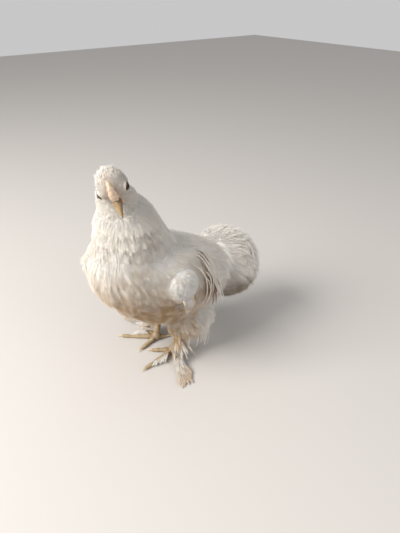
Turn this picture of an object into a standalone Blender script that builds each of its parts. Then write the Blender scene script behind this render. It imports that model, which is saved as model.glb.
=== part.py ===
"""A bantam hen, life size: she stands square on short feathered legs and turns her head to her left.

Metres, +Z up. The hen faces -Y and her left side is at +X. The origin is on the ground, under the
middle of the whole bird. Every place below is first given from the middle of her stance, and the
last step moves all of it by STANCE_SHIFT.
"""
import math
import random

import bmesh
import bpy
from mathutils import Matrix, Vector

GAP = 0.0003
STANCE_SHIFT = Vector((0.0008, -0.0236, 0.0))
SEED = 7

# The trunk: place along Y, height of its middle, half width, rise above and drop below the middle.
TORSO_SECTIONS = (
    (-0.0930, 0.146, 0.027, 0.028, 0.025),
    (-0.0780, 0.143, 0.046, 0.046, 0.047),
    (-0.0540, 0.135, 0.058, 0.055, 0.063),
    (-0.0250, 0.127, 0.064, 0.056, 0.071),
    (0.0050, 0.120, 0.065, 0.051, 0.070),
    (0.0350, 0.115, 0.061, 0.045, 0.062),
    (0.0580, 0.112, 0.053, 0.037, 0.051),
    (0.0730, 0.111, 0.041, 0.029, 0.039),
    (0.0830, 0.110, 0.025, 0.018, 0.024),
)
TORSO_FRONT = Vector((0.0, -0.0985, 0.147))
TORSO_BACK = Vector((0.0, 0.0870, 0.110))
TORSO_ROUNDNESS = 2.15
TORSO_RINGS = 15
TORSO_SIDES = 24

# The neck: middle of each section, its half width across and along the way it faces, and its turn.
NECK_SECTIONS = (
    (Vector((0.000, -0.0380, 0.140)), 0.048, 0.050, 0.0),
    (Vector((0.000, -0.0395, 0.165)), 0.048, 0.052, 0.0),
    (Vector((-0.001, -0.0430, 0.187)), 0.043, 0.047, 18.0),
    (Vector((-0.002, -0.0455, 0.207)), 0.038, 0.036, 40.0),
    (Vector((-0.0055, -0.0475, 0.226)), 0.029, 0.0225, 55.0),
    (Vector((-0.003, -0.0565, 0.243)), 0.019, 0.0145, 57.0),
)
NECK_RINGS = 9
NECK_SIDES = 20

# The head has a frame of its own: it looks along its -Y, and is turned, tilted and bowed.
HEAD_CENTRE = Vector((0.005, -0.062, 0.2480))
HEAD_TURN = math.radians(58.0)
HEAD_TILT = math.radians(-19.0)
HEAD_BOW = math.radians(36.0)
HEAD_HALF = Vector((0.0180, 0.0215, 0.0190))
BROW_PINCH = 0.30
HEAD_RINGS = 11
HEAD_SIDES = 16

EYE_RADIUS = 0.0050
EYE_PLACE = Vector((0.0131, -0.0075, 0.0022))
EYE_LOOK = Vector((0.93, -0.34, 0.10)).normalized()
LID_RADIUS = 0.0046
LID_THICK = 0.0010

BEAK_ROOT_Y = -0.0150
BEAK_LENGTH = 0.0205
BEAK_HALF_WIDTH = 0.0062
BEAK_RISE = 0.0046
BEAK_DROOP = 0.0062
BEAK_BOTTOM = 0.0008
LOWER_BEAK_SHARE = 0.78
LOWER_BEAK_DEPTH = 0.0038
BEAK_MIDDLE_Z = -0.0030
NOSTRIL_PLACE = Vector((0.0044, -0.0205, -0.0009))
NOSTRIL_HALF = Vector((0.0009, 0.0016, 0.0006))

COMB_BASE = ((-0.0205, 0.0015), (0.0010, 0.0175))
COMB_BULGE = 0.0042
COMB_POINTS = 5
COMB_HEIGHT = 0.0048
COMB_THICK = 0.0030

WATTLE_PLACE = Vector((0.0048, -0.0150, -0.0092))
WATTLE_HALF = Vector((0.0013, 0.0030, 0.0046))
EAR_PLACE = Vector((0.0158, 0.0040, -0.0045))
EAR_HALF = Vector((0.0022, 0.0030, 0.0036))

# The tail is a ball of soft feathers that arch over from the rump.
TAIL_CENTRE = Vector((0.0, 0.0950, 0.098))
TAIL_RADIUS = 0.0515
TAIL_FLATTEN = 0.92
TAIL_POLE = Vector((0.0, -0.45, 0.89)).normalized()
TAIL_CORE_CENTRE = Vector((0.0, 0.0910, 0.101))
TAIL_CORE_HALF = Vector((0.030, 0.031, 0.031))
TAIL_CAP_CENTRE = Vector((0.0, 0.0790, 0.126))
TAIL_CAP_HALF = Vector((0.0185, 0.0190, 0.0125))
TAIL_SHINGLE = math.radians(8.0)
TAIL_CENTRE_LIFT = 0.0008
TAIL_STEPS = 5
# Each tier: feathers, how far round to each side, angles from the pole of roots and tips, how deep
# the roots lie as a share of the radius, the tier's depth under the ball's surface, and width.
TAIL_TIERS = (
    (13, 120.0, 62.0, 134.0, 0.47, 0.0078, 0.0230),
    (11, 124.0, 38.0, 100.0, 0.50, 0.0040, 0.0230),
    (9, 126.0, 15.0, 68.0, 0.66, 0.0000, 0.0215),
)
VANE_THICK = 0.0005

# The wing hangs over the flank, on a flattened surface a little outside the trunk.
WING_MIDDLE = Vector((0.0, 0.004, 0.112))
WING_HALF = Vector((0.0660, 0.150, 0.085))
WING_FRONT = 0.095
WING_ROUNDNESS = 2.5
WING_SHINGLE = math.radians(9.0)
# Each tier, with two values for its first and its last feather: how many, root (Y, Z), length,
# slope below level at the root and at the tip, width; then the tier's height over the surface.
WING_TIERS = (
    (10, ((-0.020, 0.136), (0.012, 0.160)), (0.046, 0.104), ((74.0, 88.0), (36.0, 84.0)), (0.0112, 0.0084), 0.0008),
    (7, ((-0.028, 0.149), (0.004, 0.164)), (0.034, 0.056), ((76.0, 86.0), (36.0, 70.0)), (0.0120, 0.0100), 0.0030),
    (6, ((-0.036, 0.157), (-0.004, 0.167)), (0.026, 0.036), ((74.0, 84.0), (34.0, 54.0)), (0.0125, 0.0110), 0.0052),
)
WING_CORE_ENDS = ((-0.046, 0.150), (0.022, 0.158))
WING_CORE_HALF_CHORD = 0.020
WING_CORE_THICK = 0.0042

THIGH_CENTRE = Vector((0.0300, 0.016, 0.0650))
THIGH_HALF = Vector((0.0270, 0.0380, 0.0335))
HOCK_FEATHERS = 5

HOCK_HEIGHT = 0.0440
SHANK_RADIUS = 0.0046
BALL_RADIUS = 0.0062
TOE_RADIUS = 0.0034
CLAW_LENGTH = 0.0095
CLAW_RADIUS = 0.0015
CLAW_CLEAR = 0.0006
# Each foot: where it stands, then each toe's direction outward from straight ahead and its length.
FEET = {
    "L": (Vector((0.0200, -0.0040)), {
        "inner": (-40.0, 0.0280), "middle": (8.0, 0.0480), "outer": (71.0, 0.0340), "hind": (186.0, 0.0140)}),
    "R": (Vector((0.0170, -0.0060)), {
        "inner": (-14.0, 0.0290), "middle": (42.0, 0.0480), "outer": (88.0, 0.0340), "hind": (206.0, 0.0140)}),
}
# Foot feathers, laid one over another: how many, where on the toe the first and last are rooted,
# how far each way they fan, length of the first and last, width, height of the lowest tip, and
# how much higher each one lies than the one below.
TOE_FEATHERS = {
    "outer": (5, (0.80, 0.26), (-6.0, 16.0), (0.044, 0.046), 0.0100, 0.0012, 0.00095),
    "middle": (3, (0.54, 0.22), (12.0, 28.0), (0.017, 0.021), 0.0062, 0.0012, 0.00095),
}
SHANK_FEATHERS = (4, (58.0, 82.0), (0.042, 0.032), 0.0090, 0.0108, 0.0010)
FEATHER_ARCH = 0.0014

COLOURS = {
    "plumage": ((0.78, 0.70, 0.58), 0.90),
    "flight": ((0.80, 0.71, 0.58), 0.80),
    "flesh": ((0.72, 0.42, 0.32), 0.55),
    "horn": ((0.78, 0.60, 0.32), 0.40),
    "leg": ((0.74, 0.58, 0.34), 0.60),
    "eye": ((0.02, 0.012, 0.008), 0.08),
}


def material(slot):
    """The Principled material of a slot, made once."""
    found = bpy.data.materials.get(slot)
    if found:
        return found
    colour, roughness = COLOURS[slot]
    made = bpy.data.materials.new(slot)
    made.use_nodes = True
    shader = made.node_tree.nodes["Principled BSDF"]
    shader.inputs["Base Color"].default_value = (*colour, 1.0)
    shader.inputs["Roughness"].default_value = roughness
    return made


def mesh_object(name, mesh, slot, group):
    """A mesh as a named object in a collection."""
    made = bpy.data.objects.new(name, mesh)
    group.objects.link(made)
    mesh.materials.clear()
    mesh.materials.append(material(slot))
    return made


def closed_loft(rings, first=None, last=None):
    """A closed mesh through rings of equal count, each end drawn to a point or filled from its middle."""
    net = bmesh.new()
    rows = [[net.verts.new(p) for p in ring] for ring in rings]
    sides = len(rings[0])
    for row, following in zip(rows, rows[1:]):
        for k in range(sides):
            a, b = row[k], row[(k + 1) % sides]
            c, d = following[(k + 1) % sides], following[k]
            net.faces.new((a, b, c))
            net.faces.new((a, c, d))
    for row, end, turned in ((rows[0], first, True), (rows[-1], last, False)):
        middle = end if end is not None else sum((v.co for v in row), Vector()) / sides
        tip = net.verts.new(middle)
        for k in range(sides):
            pair = (row[k], row[(k + 1) % sides])
            net.faces.new((tip, *(reversed(pair) if turned else pair)))
    bmesh.ops.recalc_face_normals(net, faces=net.faces)
    mesh = bpy.data.meshes.new("loft")
    net.to_mesh(mesh)
    net.free()
    return mesh


def ellipsoid(centre, half, rings=10, sides=14, turn=None):
    """A closed ellipsoid, from the sphere primitive."""
    net = bmesh.new()
    bmesh.ops.create_uvsphere(net, u_segments=sides, v_segments=rings, radius=1.0)
    bmesh.ops.triangulate(net, faces=net.faces)
    mesh = bpy.data.meshes.new("ellipsoid")
    net.to_mesh(mesh)
    net.free()
    scale = Matrix.Diagonal((*half, 1.0))
    mesh.transform(Matrix.Translation(centre) @ (turn or Matrix.Identity(4)) @ scale)
    return mesh


def between(rows, place):
    """Smooth values at a place between table rows, whose first column is the place."""
    last = len(rows) - 1
    k = 0
    while k < last - 1 and place > rows[k + 1][0]:
        k += 1
    t = (place - rows[k][0]) / (rows[k + 1][0] - rows[k][0])
    before, after = rows[max(k - 1, 0)], rows[min(k + 2, last)]
    found = []
    for c in range(1, len(rows[0])):
        p0, p1, p2, p3 = before[c], rows[k][c], rows[k + 1][c], after[c]
        found.append(0.5 * (2 * p1 + (p2 - p0) * t + (2 * p0 - 5 * p1 + 4 * p2 - p3) * t ** 2
                            + (3 * p1 - p0 - 3 * p2 + p3) * t ** 3))
    return found


def mix(a, b, share):
    """A value part of the way from a to b."""
    return a + (b - a) * share


def round_point(angle, roundness):
    """A point of a unit superellipse."""
    c, s = math.cos(angle), math.sin(angle)
    return (math.copysign(abs(c) ** (2 / roundness), c), math.copysign(abs(s) ** (2 / roundness), s))


def apply_modifiers(obj):
    """Turns what the modifiers make into the object's own mesh."""
    graph = bpy.context.evaluated_depsgraph_get()
    made = bpy.data.meshes.new_from_object(obj.evaluated_get(graph))
    obj.modifiers.clear()
    obj.data = made


def keep_largest(obj):
    """Drops every closed surface of the object but the one that encloses the most."""
    net = bmesh.new()
    net.from_mesh(obj.data)
    bmesh.ops.triangulate(net, faces=net.faces)
    bmesh.ops.dissolve_degenerate(net, dist=1e-7, edges=net.edges)
    bmesh.ops.triangulate(net, faces=net.faces)
    unseen = set(net.faces)
    shells = []
    while unseen:
        shell, queue = set(), [unseen.pop()]
        while queue:
            face = queue.pop()
            shell.add(face)
            for edge in face.edges:
                for other in edge.link_faces:
                    if other in unseen:
                        unseen.discard(other)
                        queue.append(other)
        volume = sum(f.verts[0].co.dot(f.verts[1].co.cross(f.verts[2].co)) for f in shell) / 6
        shells.append((volume, shell))
    shells.sort(key=lambda pair: pair[0])
    spare = [f for _, shell in shells[:-1] for f in shell]
    bmesh.ops.delete(net, geom=spare, context="FACES")
    loose = [v for v in net.verts if not v.link_faces]
    bmesh.ops.delete(net, geom=loose, context="VERTS")
    net.to_mesh(obj.data)
    net.free()


def fuse(name, meshes, slot, group):
    """Joins closed meshes into one object by one Boolean union."""
    if len(meshes) == 1:
        return mesh_object(name, meshes[0], slot, group)
    rest = bpy.data.collections.new("joined")
    bpy.context.scene.collection.children.link(rest)
    joined = mesh_object(name, meshes[0], slot, group)
    for mesh in meshes[1:]:
        mesh_object("piece", mesh, slot, rest)
    union = joined.modifiers.new("union", "BOOLEAN")
    union.operation = "UNION"
    union.operand_type = "COLLECTION"
    union.collection = rest
    union.solver = "MANIFOLD"
    apply_modifiers(joined)
    for piece in list(rest.objects):
        bpy.data.objects.remove(piece)
    bpy.data.collections.remove(rest)
    keep_largest(joined)
    return joined


def subtract(obj, mesh):
    """Cuts a closed mesh out of an object."""
    cutter = bpy.data.objects.new("cutter", mesh)
    bpy.context.scene.collection.objects.link(cutter)
    cutter.hide_render = True
    cutter.display_type = "WIRE"
    cut = obj.modifiers.new("cut", "BOOLEAN")
    cut.operation = "DIFFERENCE"
    cut.object = cutter
    cut.solver = "MANIFOLD"
    apply_modifiers(obj)
    bpy.data.objects.remove(cutter)


def cut_clear(obj, *neighbours):
    """Cuts an object clear of its neighbours, with the gap that touching pieces keep."""
    for neighbour in neighbours:
        net = bmesh.new()
        net.from_mesh(neighbour.data)
        net.normal_update()
        for vert in net.verts:
            vert.co += vert.normal * GAP * vert.calc_shell_factor()
        grown = bpy.data.meshes.new("grown")
        net.to_mesh(grown)
        net.free()
        subtract(obj, grown)
    keep_largest(obj)


def vane(path, outs, widths, roll=0.0, ridge=0.0):
    """A feather's blade: a thin closed plate along a path, with both faces split alike.

    path holds points and outs the directions out of the blade's face, which roll then turns
    about the path. A ridge raises the middle, like a quill, and adds two corners to each section.
    """
    rings = []
    last = len(path) - 1
    for k, (point, out, width) in enumerate(zip(path, outs, widths)):
        along = (path[min(k + 1, last)] - path[max(k - 1, 0)]).normalized()
        across = Matrix.Rotation(roll, 3, along) @ along.cross(out).normalized()
        up = across.cross(along)
        half = across * width / 2
        rise = up * VANE_THICK / 2
        crown = up * ridge * width / max(widths)
        if ridge:
            rings.append([point - half - rise, point - half + rise, point + crown + rise,
                          point + half + rise, point + half - rise, point + crown - rise])
        else:
            rings.append([point - half - rise, point - half + rise, point + half + rise, point + half - rise])
    net = bmesh.new()
    rows = [[net.verts.new(p) for p in ring] for ring in rings]
    count = len(rings[0])
    # Both faces of the blade use the same diagonals, so that they never cross where it is thin.
    pairs = ((1, 2), (2, 3), (5, 4), (0, 5)) if ridge else ((1, 2), (0, 3))
    pairs += ((0, 1), (count // 2, count // 2 + 1))
    for row, following in zip(rows, rows[1:]):
        for a, b in pairs:
            net.faces.new((row[a], row[b], following[b]))
            net.faces.new((row[a], following[b], following[a]))
    caps = ((0, 1, 2), (0, 2, 5), (5, 2, 3), (5, 3, 4)) if ridge else ((0, 1, 2), (0, 2, 3))
    for row in (rows[0], rows[-1]):
        for cap in caps:
            net.faces.new([row[k] for k in cap])
    bmesh.ops.recalc_face_normals(net, faces=net.faces)
    mesh = bpy.data.meshes.new("vane")
    net.to_mesh(mesh)
    net.free()
    return mesh


def blade_width(t, width):
    """A feather's width at share t of its length: narrow at the root, full, then round at the tip."""
    swell = min(1.0, 0.34 + 1.6 * t)
    tip = math.sqrt(max(0.0, 1.0 - max(0.0, (t - 0.62) / 0.40) ** 2))
    return width * swell * max(tip, 0.22)


def torso(group):
    """The trunk: a full breast, a broad back and a deep fluffy belly."""
    first, last = TORSO_SECTIONS[0][0], TORSO_SECTIONS[-1][0]
    rings = []
    for k in range(TORSO_RINGS):
        share = k / (TORSO_RINGS - 1)
        y = mix(first, last, mix(share, 0.5 - 0.5 * math.cos(math.pi * share), 0.6))
        middle, wide, rise, drop = between(TORSO_SECTIONS, y)
        ring = []
        for s in range(TORSO_SIDES):
            c, d = round_point(2 * math.pi * s / TORSO_SIDES, TORSO_ROUNDNESS)
            ring.append(Vector((wide * c, y, middle + (rise if d > 0 else drop) * d)))
        rings.append(ring)
    return mesh_object("torso", closed_loft(rings, TORSO_FRONT, TORSO_BACK), "plumage", group)


def neck(group):
    """The neck's full hackle, from the shoulders up into the head, turning with the head."""
    rings = []
    table = [(k, *c, a, b, turn) for k, (c, a, b, turn) in enumerate(NECK_SECTIONS)]
    for k in range(NECK_RINGS):
        x, y, z, wide, deep, turn = between(table, k * (len(table) - 1) / (NECK_RINGS - 1))
        face = Matrix.Rotation(math.radians(turn), 3, "Z")
        rings.append([Vector((x, y, z)) + face @ Vector((wide * math.cos(a), deep * math.sin(a), 0.0))
                      for a in (2 * math.pi * s / NECK_SIDES for s in range(NECK_SIDES))])
    return mesh_object("neck", closed_loft(rings), "plumage", group)


def head_frame():
    """From the head's own frame to the bird's."""
    return (Matrix.Translation(HEAD_CENTRE) @ Matrix.Rotation(HEAD_TURN, 4, "Z")
            @ Matrix.Rotation(HEAD_TILT, 4, "Y") @ Matrix.Rotation(HEAD_BOW, 4, "X"))


def skull_mesh():
    """The feathered skull in its own frame: round behind, narrowing to the beak."""
    mesh = ellipsoid(Vector(), HEAD_HALF, HEAD_RINGS, HEAD_SIDES, Matrix.Rotation(math.pi / 2, 4, "X"))
    for vert in mesh.vertices:
        ahead = max(0.0, -vert.co.y / HEAD_HALF.y)
        vert.co.x *= 1.0 - BROW_PINCH * ahead ** 2
        vert.co.z *= 1.0 - BROW_PINCH * 0.8 * ahead ** 2
        vert.co.z -= 0.0022 * ahead ** 2
    return mesh


def lid_mesh(side):
    """A ring of bare skin round the eye."""
    look = Vector((EYE_LOOK.x * side, EYE_LOOK.y, EYE_LOOK.z))
    centre = Vector((EYE_PLACE.x * side, EYE_PLACE.y, EYE_PLACE.z)) + look * 0.0024
    turn = look.to_track_quat("Z", "Y").to_matrix().to_4x4()
    rings = []
    for k in range(12):
        a = 2 * math.pi * k / 12
        out = Vector((math.cos(a), math.sin(a) * 0.92, 0.0))
        rings.append([Matrix.Translation(centre) @ turn @ (out * (LID_RADIUS + LID_THICK * math.cos(b))
                      + Vector((0.0, 0.0, LID_THICK * math.sin(b))))
                      for b in (2 * math.pi * m / 4 for m in range(4))])
    net = bmesh.new()
    rows = [[net.verts.new(p) for p in ring] for ring in rings]
    for k, row in enumerate(rows):
        following = rows[(k + 1) % len(rows)]
        for m in range(4):
            net.faces.new((row[m], row[(m + 1) % 4], following[(m + 1) % 4]))
            net.faces.new((row[m], following[(m + 1) % 4], following[m]))
    bmesh.ops.recalc_face_normals(net, faces=net.faces)
    mesh = bpy.data.meshes.new("lid")
    net.to_mesh(mesh)
    net.free()
    return mesh


def head(group):
    """The skull with its lids and ear lobes, and a socket for each eye."""
    pieces = [skull_mesh()]
    for side in (1, -1):
        pieces.append(lid_mesh(side))
        pieces.append(ellipsoid(Vector((EAR_PLACE.x * side, EAR_PLACE.y, EAR_PLACE.z)), EAR_HALF, 6, 8))
    for mesh in pieces:
        mesh.transform(head_frame())
    return fuse("head", pieces, "plumage", group)


def eyes(group):
    """Two eyeballs."""
    made = []
    for name, side in (("eye_L", 1), ("eye_R", -1)):
        place = Vector((EYE_PLACE.x * side, EYE_PLACE.y, EYE_PLACE.z))
        mesh = ellipsoid(place, Vector((EYE_RADIUS,) * 3), 8, 10)
        mesh.transform(head_frame())
        made.append(mesh_object(name, mesh, "eye", group))
    return made


def beak(group):
    """The upper beak, arched over the tip of the lower, with a nostril on each side."""
    steps = 7
    upper, lower = [], []
    for k in range(steps):
        t = k / steps
        y = BEAK_ROOT_Y - BEAK_LENGTH * t
        wide = BEAK_HALF_WIDTH * (1.0 - t) ** 0.62
        drop = BEAK_DROOP * t ** 2.2
        rise = BEAK_RISE * (1.0 - t) ** 0.55
        upper.append([Vector((wide * math.cos(a), y, BEAK_MIDDLE_Z - drop
                              + (rise if math.sin(a) > 0 else BEAK_BOTTOM + 0.0010 * t) * math.sin(a)))
                      for a in (2 * math.pi * s / 10 for s in range(10))])
        y = BEAK_ROOT_Y - BEAK_LENGTH * LOWER_BEAK_SHARE * t
        t_low = t * LOWER_BEAK_SHARE
        edge = BEAK_MIDDLE_Z - BEAK_DROOP * t_low ** 2.2 - BEAK_BOTTOM * 1.2
        lower.append([Vector((wide * 0.88 * math.cos(a), y,
                              edge - LOWER_BEAK_DEPTH * (1.0 - t) ** 0.7 * (0.5 - 0.5 * math.sin(a))))
                      for a in (2 * math.pi * s / 10 for s in range(10))])
    tip = Vector((0.0, BEAK_ROOT_Y - BEAK_LENGTH, BEAK_MIDDLE_Z - BEAK_DROOP - 0.0016))
    low_tip = Vector((0.0, BEAK_ROOT_Y - BEAK_LENGTH * LOWER_BEAK_SHARE,
                      BEAK_MIDDLE_Z - BEAK_DROOP * LOWER_BEAK_SHARE ** 2.2 - BEAK_BOTTOM * 2.2))
    made = []
    for name, rings, end in (("beak_upper", upper, tip), ("beak_lower", lower, low_tip)):
        mesh = closed_loft(rings, None, end)
        mesh.transform(head_frame())
        made.append(mesh_object(name, mesh, "horn", group))
    for side in (1, -1):
        place = Vector((NOSTRIL_PLACE.x * side, NOSTRIL_PLACE.y, NOSTRIL_PLACE.z))
        hole = ellipsoid(place, NOSTRIL_HALF, 6, 8)
        hole.transform(head_frame())
        subtract(made[0], hole)
    return made


def comb(group):
    """A low single comb from the beak back over the brow."""
    (y0, z0), (y1, z1) = COMB_BASE
    columns = COMB_POINTS * 2 + 1
    rings = []
    for k in range(columns):
        t = k / (columns - 1)
        arch = COMB_BULGE * math.sin(math.pi * t)
        base = Vector((0.0, mix(y0, y1, t) - arch * 0.6, mix(z0, z1, t) + arch * 0.8))
        out = Vector((0.0, -0.55 + 0.25 * t, 0.83)).normalized()
        tall = COMB_HEIGHT * (1.0 if k % 2 else 0.45) * (0.55 + 0.45 * math.sin(math.pi * t))
        top = base + out * tall
        sunk = base - out * 0.0030
        half = Vector((COMB_THICK / 2, 0.0, 0.0))
        rings.append([sunk - half, top - half * 0.45, top + half * 0.45, sunk + half])
    mesh = closed_loft(rings)
    mesh.transform(head_frame())
    return mesh_object("comb", mesh, "flesh", group)


def wattles(group):
    """A small hanging lobe on each side of the jaw, with one fold."""
    made = []
    for name, side in (("wattle_L", 1), ("wattle_R", -1)):
        place = Vector((WATTLE_PLACE.x * side, WATTLE_PLACE.y, WATTLE_PLACE.z))
        mesh = ellipsoid(place, WATTLE_HALF, 8, 10)
        for vert in mesh.vertices:
            down = (place.z + WATTLE_HALF.z - vert.co.z) / (2 * WATTLE_HALF.z)
            fold = math.cos(4 * math.pi * (vert.co.y - place.y) / WATTLE_HALF.y / 2)
            vert.co.x += side * 0.0004 * down * fold
        mesh.transform(head_frame())
        made.append(mesh_object(name, mesh, "flesh", group))
    return made


def tail_feather(round_pole, tier, covered, longer):
    """One soft tail feather: out of the core, then over the ball to its tip.

    It lies at its tier's depth while the tier above covers it, and comes up to the ball's
    surface beyond that. All of a tier pass through the same angles, so that they nest.
    """
    root, reach, sunk, depth, width = tier
    sideways = Vector((1.0, 0.0, 0.0))
    backward = TAIL_POLE.cross(sideways)
    heading = backward * math.cos(round_pole) + sideways * math.sin(round_pole)
    roll = -TAIL_SHINGLE * (0 if abs(round_pole) < 0.02 else math.copysign(1.0, round_pole))
    above = 0.0 if roll else TAIL_CENTRE_LIFT
    flat = Vector((1.0, 1.0, TAIL_FLATTEN))
    path, outs, widths = [], [], []
    for k in range(TAIL_STEPS + 1):
        t = k / TAIL_STEPS
        angle = math.radians(mix(root, reach, t) + (longer if k == TAIL_STEPS else 0.0))
        free = min(1.0, max(0.0, (math.degrees(angle) - covered) / max(reach - covered, 0.01)))
        rise = min(1.0, sunk + (1.0 - sunk) * 2.5 * t)
        radius = (TAIL_RADIUS - depth * (1.0 - free)) * rise + above
        out = TAIL_POLE * math.cos(angle) + heading * math.sin(angle)
        path.append(TAIL_CENTRE + out * radius * flat)
        outs.append(out)
        widths.append(blade_width(t, width))
    return vane(path, outs, widths, roll, ridge=0.0011)


def tail(group):
    """Tiers of broad curved feathers over a core and the rump's end."""
    draw = random.Random(SEED)
    pieces = [ellipsoid(TAIL_CORE_CENTRE, TAIL_CORE_HALF, 8, 12),
              ellipsoid(TAIL_CAP_CENTRE, TAIL_CAP_HALF, 6, 10)]
    reaches = [tier[3] for tier in TAIL_TIERS] + [TAIL_TIERS[-1][3]]
    for (count, spread, *tier), covered in zip(TAIL_TIERS, reaches[1:]):
        for k in range(count):
            turn = math.radians(mix(-spread, spread, (k + 0.5) / count))
            pieces.append(tail_feather(turn, tier, covered, draw.uniform(-3.0, 3.0)))
    return fuse("tail", pieces, "flight", group)


def wing_x(y, z):
    """How far out the wing's surface lies at a place on the flank."""
    c, h = WING_MIDDLE, WING_HALF
    along = (y - c.y) / (h.y if y > c.y else WING_FRONT)
    spent = abs(along) ** WING_ROUNDNESS + abs((z - c.z) / h.z) ** WING_ROUNDNESS
    return h.x * max(1.0 - spent, 0.05) ** (1.0 / WING_ROUNDNESS)


def wing_normal(y, z):
    """The direction out of the wing's surface."""
    step = 0.001
    slope_y = (wing_x(y + step, z) - wing_x(y - step, z)) / (2 * step)
    slope_z = (wing_x(y, z + step) - wing_x(y, z - step)) / (2 * step)
    return Vector((1.0, -slope_y, -slope_z)).normalized()


def wing_feather(root, length, slopes, width, rise):
    """One feather lying down the flank from its root, bending down toward its tip."""
    path, outs, widths = [], [], []
    segments = 5 if length > 0.060 else 4
    y, z = root
    for k in range(segments + 1):
        t = k / segments
        out = wing_normal(y, z)
        sunk = 0.0035 * max(0.0, 1.0 - t * 5.0)
        path.append(Vector((wing_x(y, z), y, z)) + out * (rise - sunk))
        outs.append(out)
        widths.append(blade_width(t, width))
        middle = math.radians(mix(slopes[0], slopes[1], t + 0.5 / segments))
        y += length / segments * math.cos(middle)
        z -= length / segments * math.sin(middle)
    return vane(path, outs, widths, -WING_SHINGLE)


def wing_core():
    """The upper wing: a thick plate from the shoulder along the back."""
    (y0, z0), (y1, z1) = WING_CORE_ENDS
    rings = []
    steps = 7
    for k in range(steps):
        t = (k + 0.5) / steps
        swell = math.sqrt(1.0 - (2 * t - 1) ** 2)
        ring = []
        for s in range(10):
            a = 2 * math.pi * s / 10
            y = mix(y0, y1, t) + WING_CORE_HALF_CHORD * 0.15 * swell * math.cos(a)
            z = mix(z0, z1, t) - 0.004 + WING_CORE_HALF_CHORD * swell * math.cos(a)
            out = wing_normal(y, z)
            high = WING_CORE_THICK * swell if math.sin(a) > 0 else 0.016
            ring.append(Vector((wing_x(y, z), y, z)) + out * high * math.sin(a))
        rings.append(ring)
    return closed_loft(rings)


def wing(side, name, group):
    """The drooped wing: coverts above, then the flight feathers, shingled from the front."""
    pieces = [wing_core()]
    draw = random.Random(SEED + 1)
    for count, roots, lengths, slopes, widths, rise in WING_TIERS:
        for k in range(count):
            f = k / (count - 1)
            root = tuple(mix(a, b, f) for a, b in zip(*roots))
            bend = tuple(mix(a, b, f) for a, b in zip(*slopes))
            length = mix(*lengths, f) * draw.uniform(0.96, 1.04)
            pieces.append(wing_feather(root, length, bend, mix(*widths, f), rise))
    if side < 0:
        for mesh in pieces:
            mesh.transform(Matrix.Diagonal((-1.0, 1.0, 1.0, 1.0)))
            mesh.flip_normals()
    return fuse(name, pieces, "flight", group)


def thigh(side, name, group):
    """The feathered thigh, with stiff pointed feathers hanging at the hock."""
    centre = Vector((THIGH_CENTRE.x * side, THIGH_CENTRE.y, THIGH_CENTRE.z))
    pieces = [ellipsoid(centre, THIGH_HALF, 10, 14)]
    for k in range(HOCK_FEATHERS):
        f = k / (HOCK_FEATHERS - 1)
        a = math.radians(mix(10.0, 100.0, f))
        out = Vector((math.cos(a) * side, math.sin(a), 0.0))
        root = centre + Vector((out.x * 0.012, out.y * 0.016, -0.016))
        path, outs, widths = [], [], []
        for m in range(4):
            t = m / 3
            path.append(root + out * (0.010 + 0.008 * t) + Vector((0.0, 0.005 * t, -0.027 * t)))
            outs.append(out)
            widths.append(0.0100 * (1.0 - 0.75 * t ** 2))
        pieces.append(vane(path, outs, widths))
    return fuse(name, pieces, "plumage", group)


def outward(degrees, side):
    """A direction on the ground, measured outward from straight ahead."""
    a = math.radians(degrees)
    return Vector((math.sin(a) * side, -math.cos(a), 0.0))


def shank(side, name, stand, toes, group):
    """The shank from the hock down to the ball of the foot, feathered on its outer side."""
    foot = Vector((stand.x * side, stand.y, 0.0))
    hock = foot + Vector((0.003 * side, 0.010, HOCK_HEIGHT))
    ball = foot + Vector((0.0, 0.0, BALL_RADIUS * 0.80))
    rings = []
    steps = 8
    for k in range(steps):
        t = k / (steps - 1)
        middle = hock.lerp(ball, t)
        radius = SHANK_RADIUS * (1.12 - 0.25 * math.sin(math.pi * t)) * (1.0 if k % 2 else 1.05)
        rings.append([middle + Vector((radius * math.cos(a), radius * 1.1 * math.sin(a), 0.0))
                      for a in (2 * math.pi * s / 8 for s in range(8))])
    sole = ellipsoid(ball, Vector((BALL_RADIUS, BALL_RADIUS, BALL_RADIUS)), 8, 10)
    for vert in sole.vertices:
        vert.co.z = max(vert.co.z, 0.0)
    pieces = [closed_loft(rings), sole]
    count, fan, lengths, width, lowest, step = SHANK_FEATHERS
    for k in range(count):
        f = k / (count - 1)
        out = outward(mix(*fan, f), side)
        root = hock.lerp(ball, mix(0.62, 0.22, f))
        pieces.append(feather_out(root, out, mix(*lengths, f), lowest + step * k, width, 0.0))
    return fuse(name, pieces, "leg", group)


def feather_out(root, out, length, tip_height, width, arch):
    """A foot feather that leaves its root, arches over and comes down to its tip."""
    path, outs, widths = [], [], []
    for m in range(5):
        t = m / 4
        rise = arch * math.sin(math.pi * t) - (root.z - tip_height) * t * t
        path.append(root + out * length * t + Vector((0.0, 0.0, rise)))
        outs.append(Vector((0.0, 0.0, 1.0)))
        widths.append(width * (0.45 + 0.55 * math.sin(math.pi * min(1.0, 0.15 + 0.75 * t))))
    widths[-1] = width * 0.35
    return vane(path, outs, widths)


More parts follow.
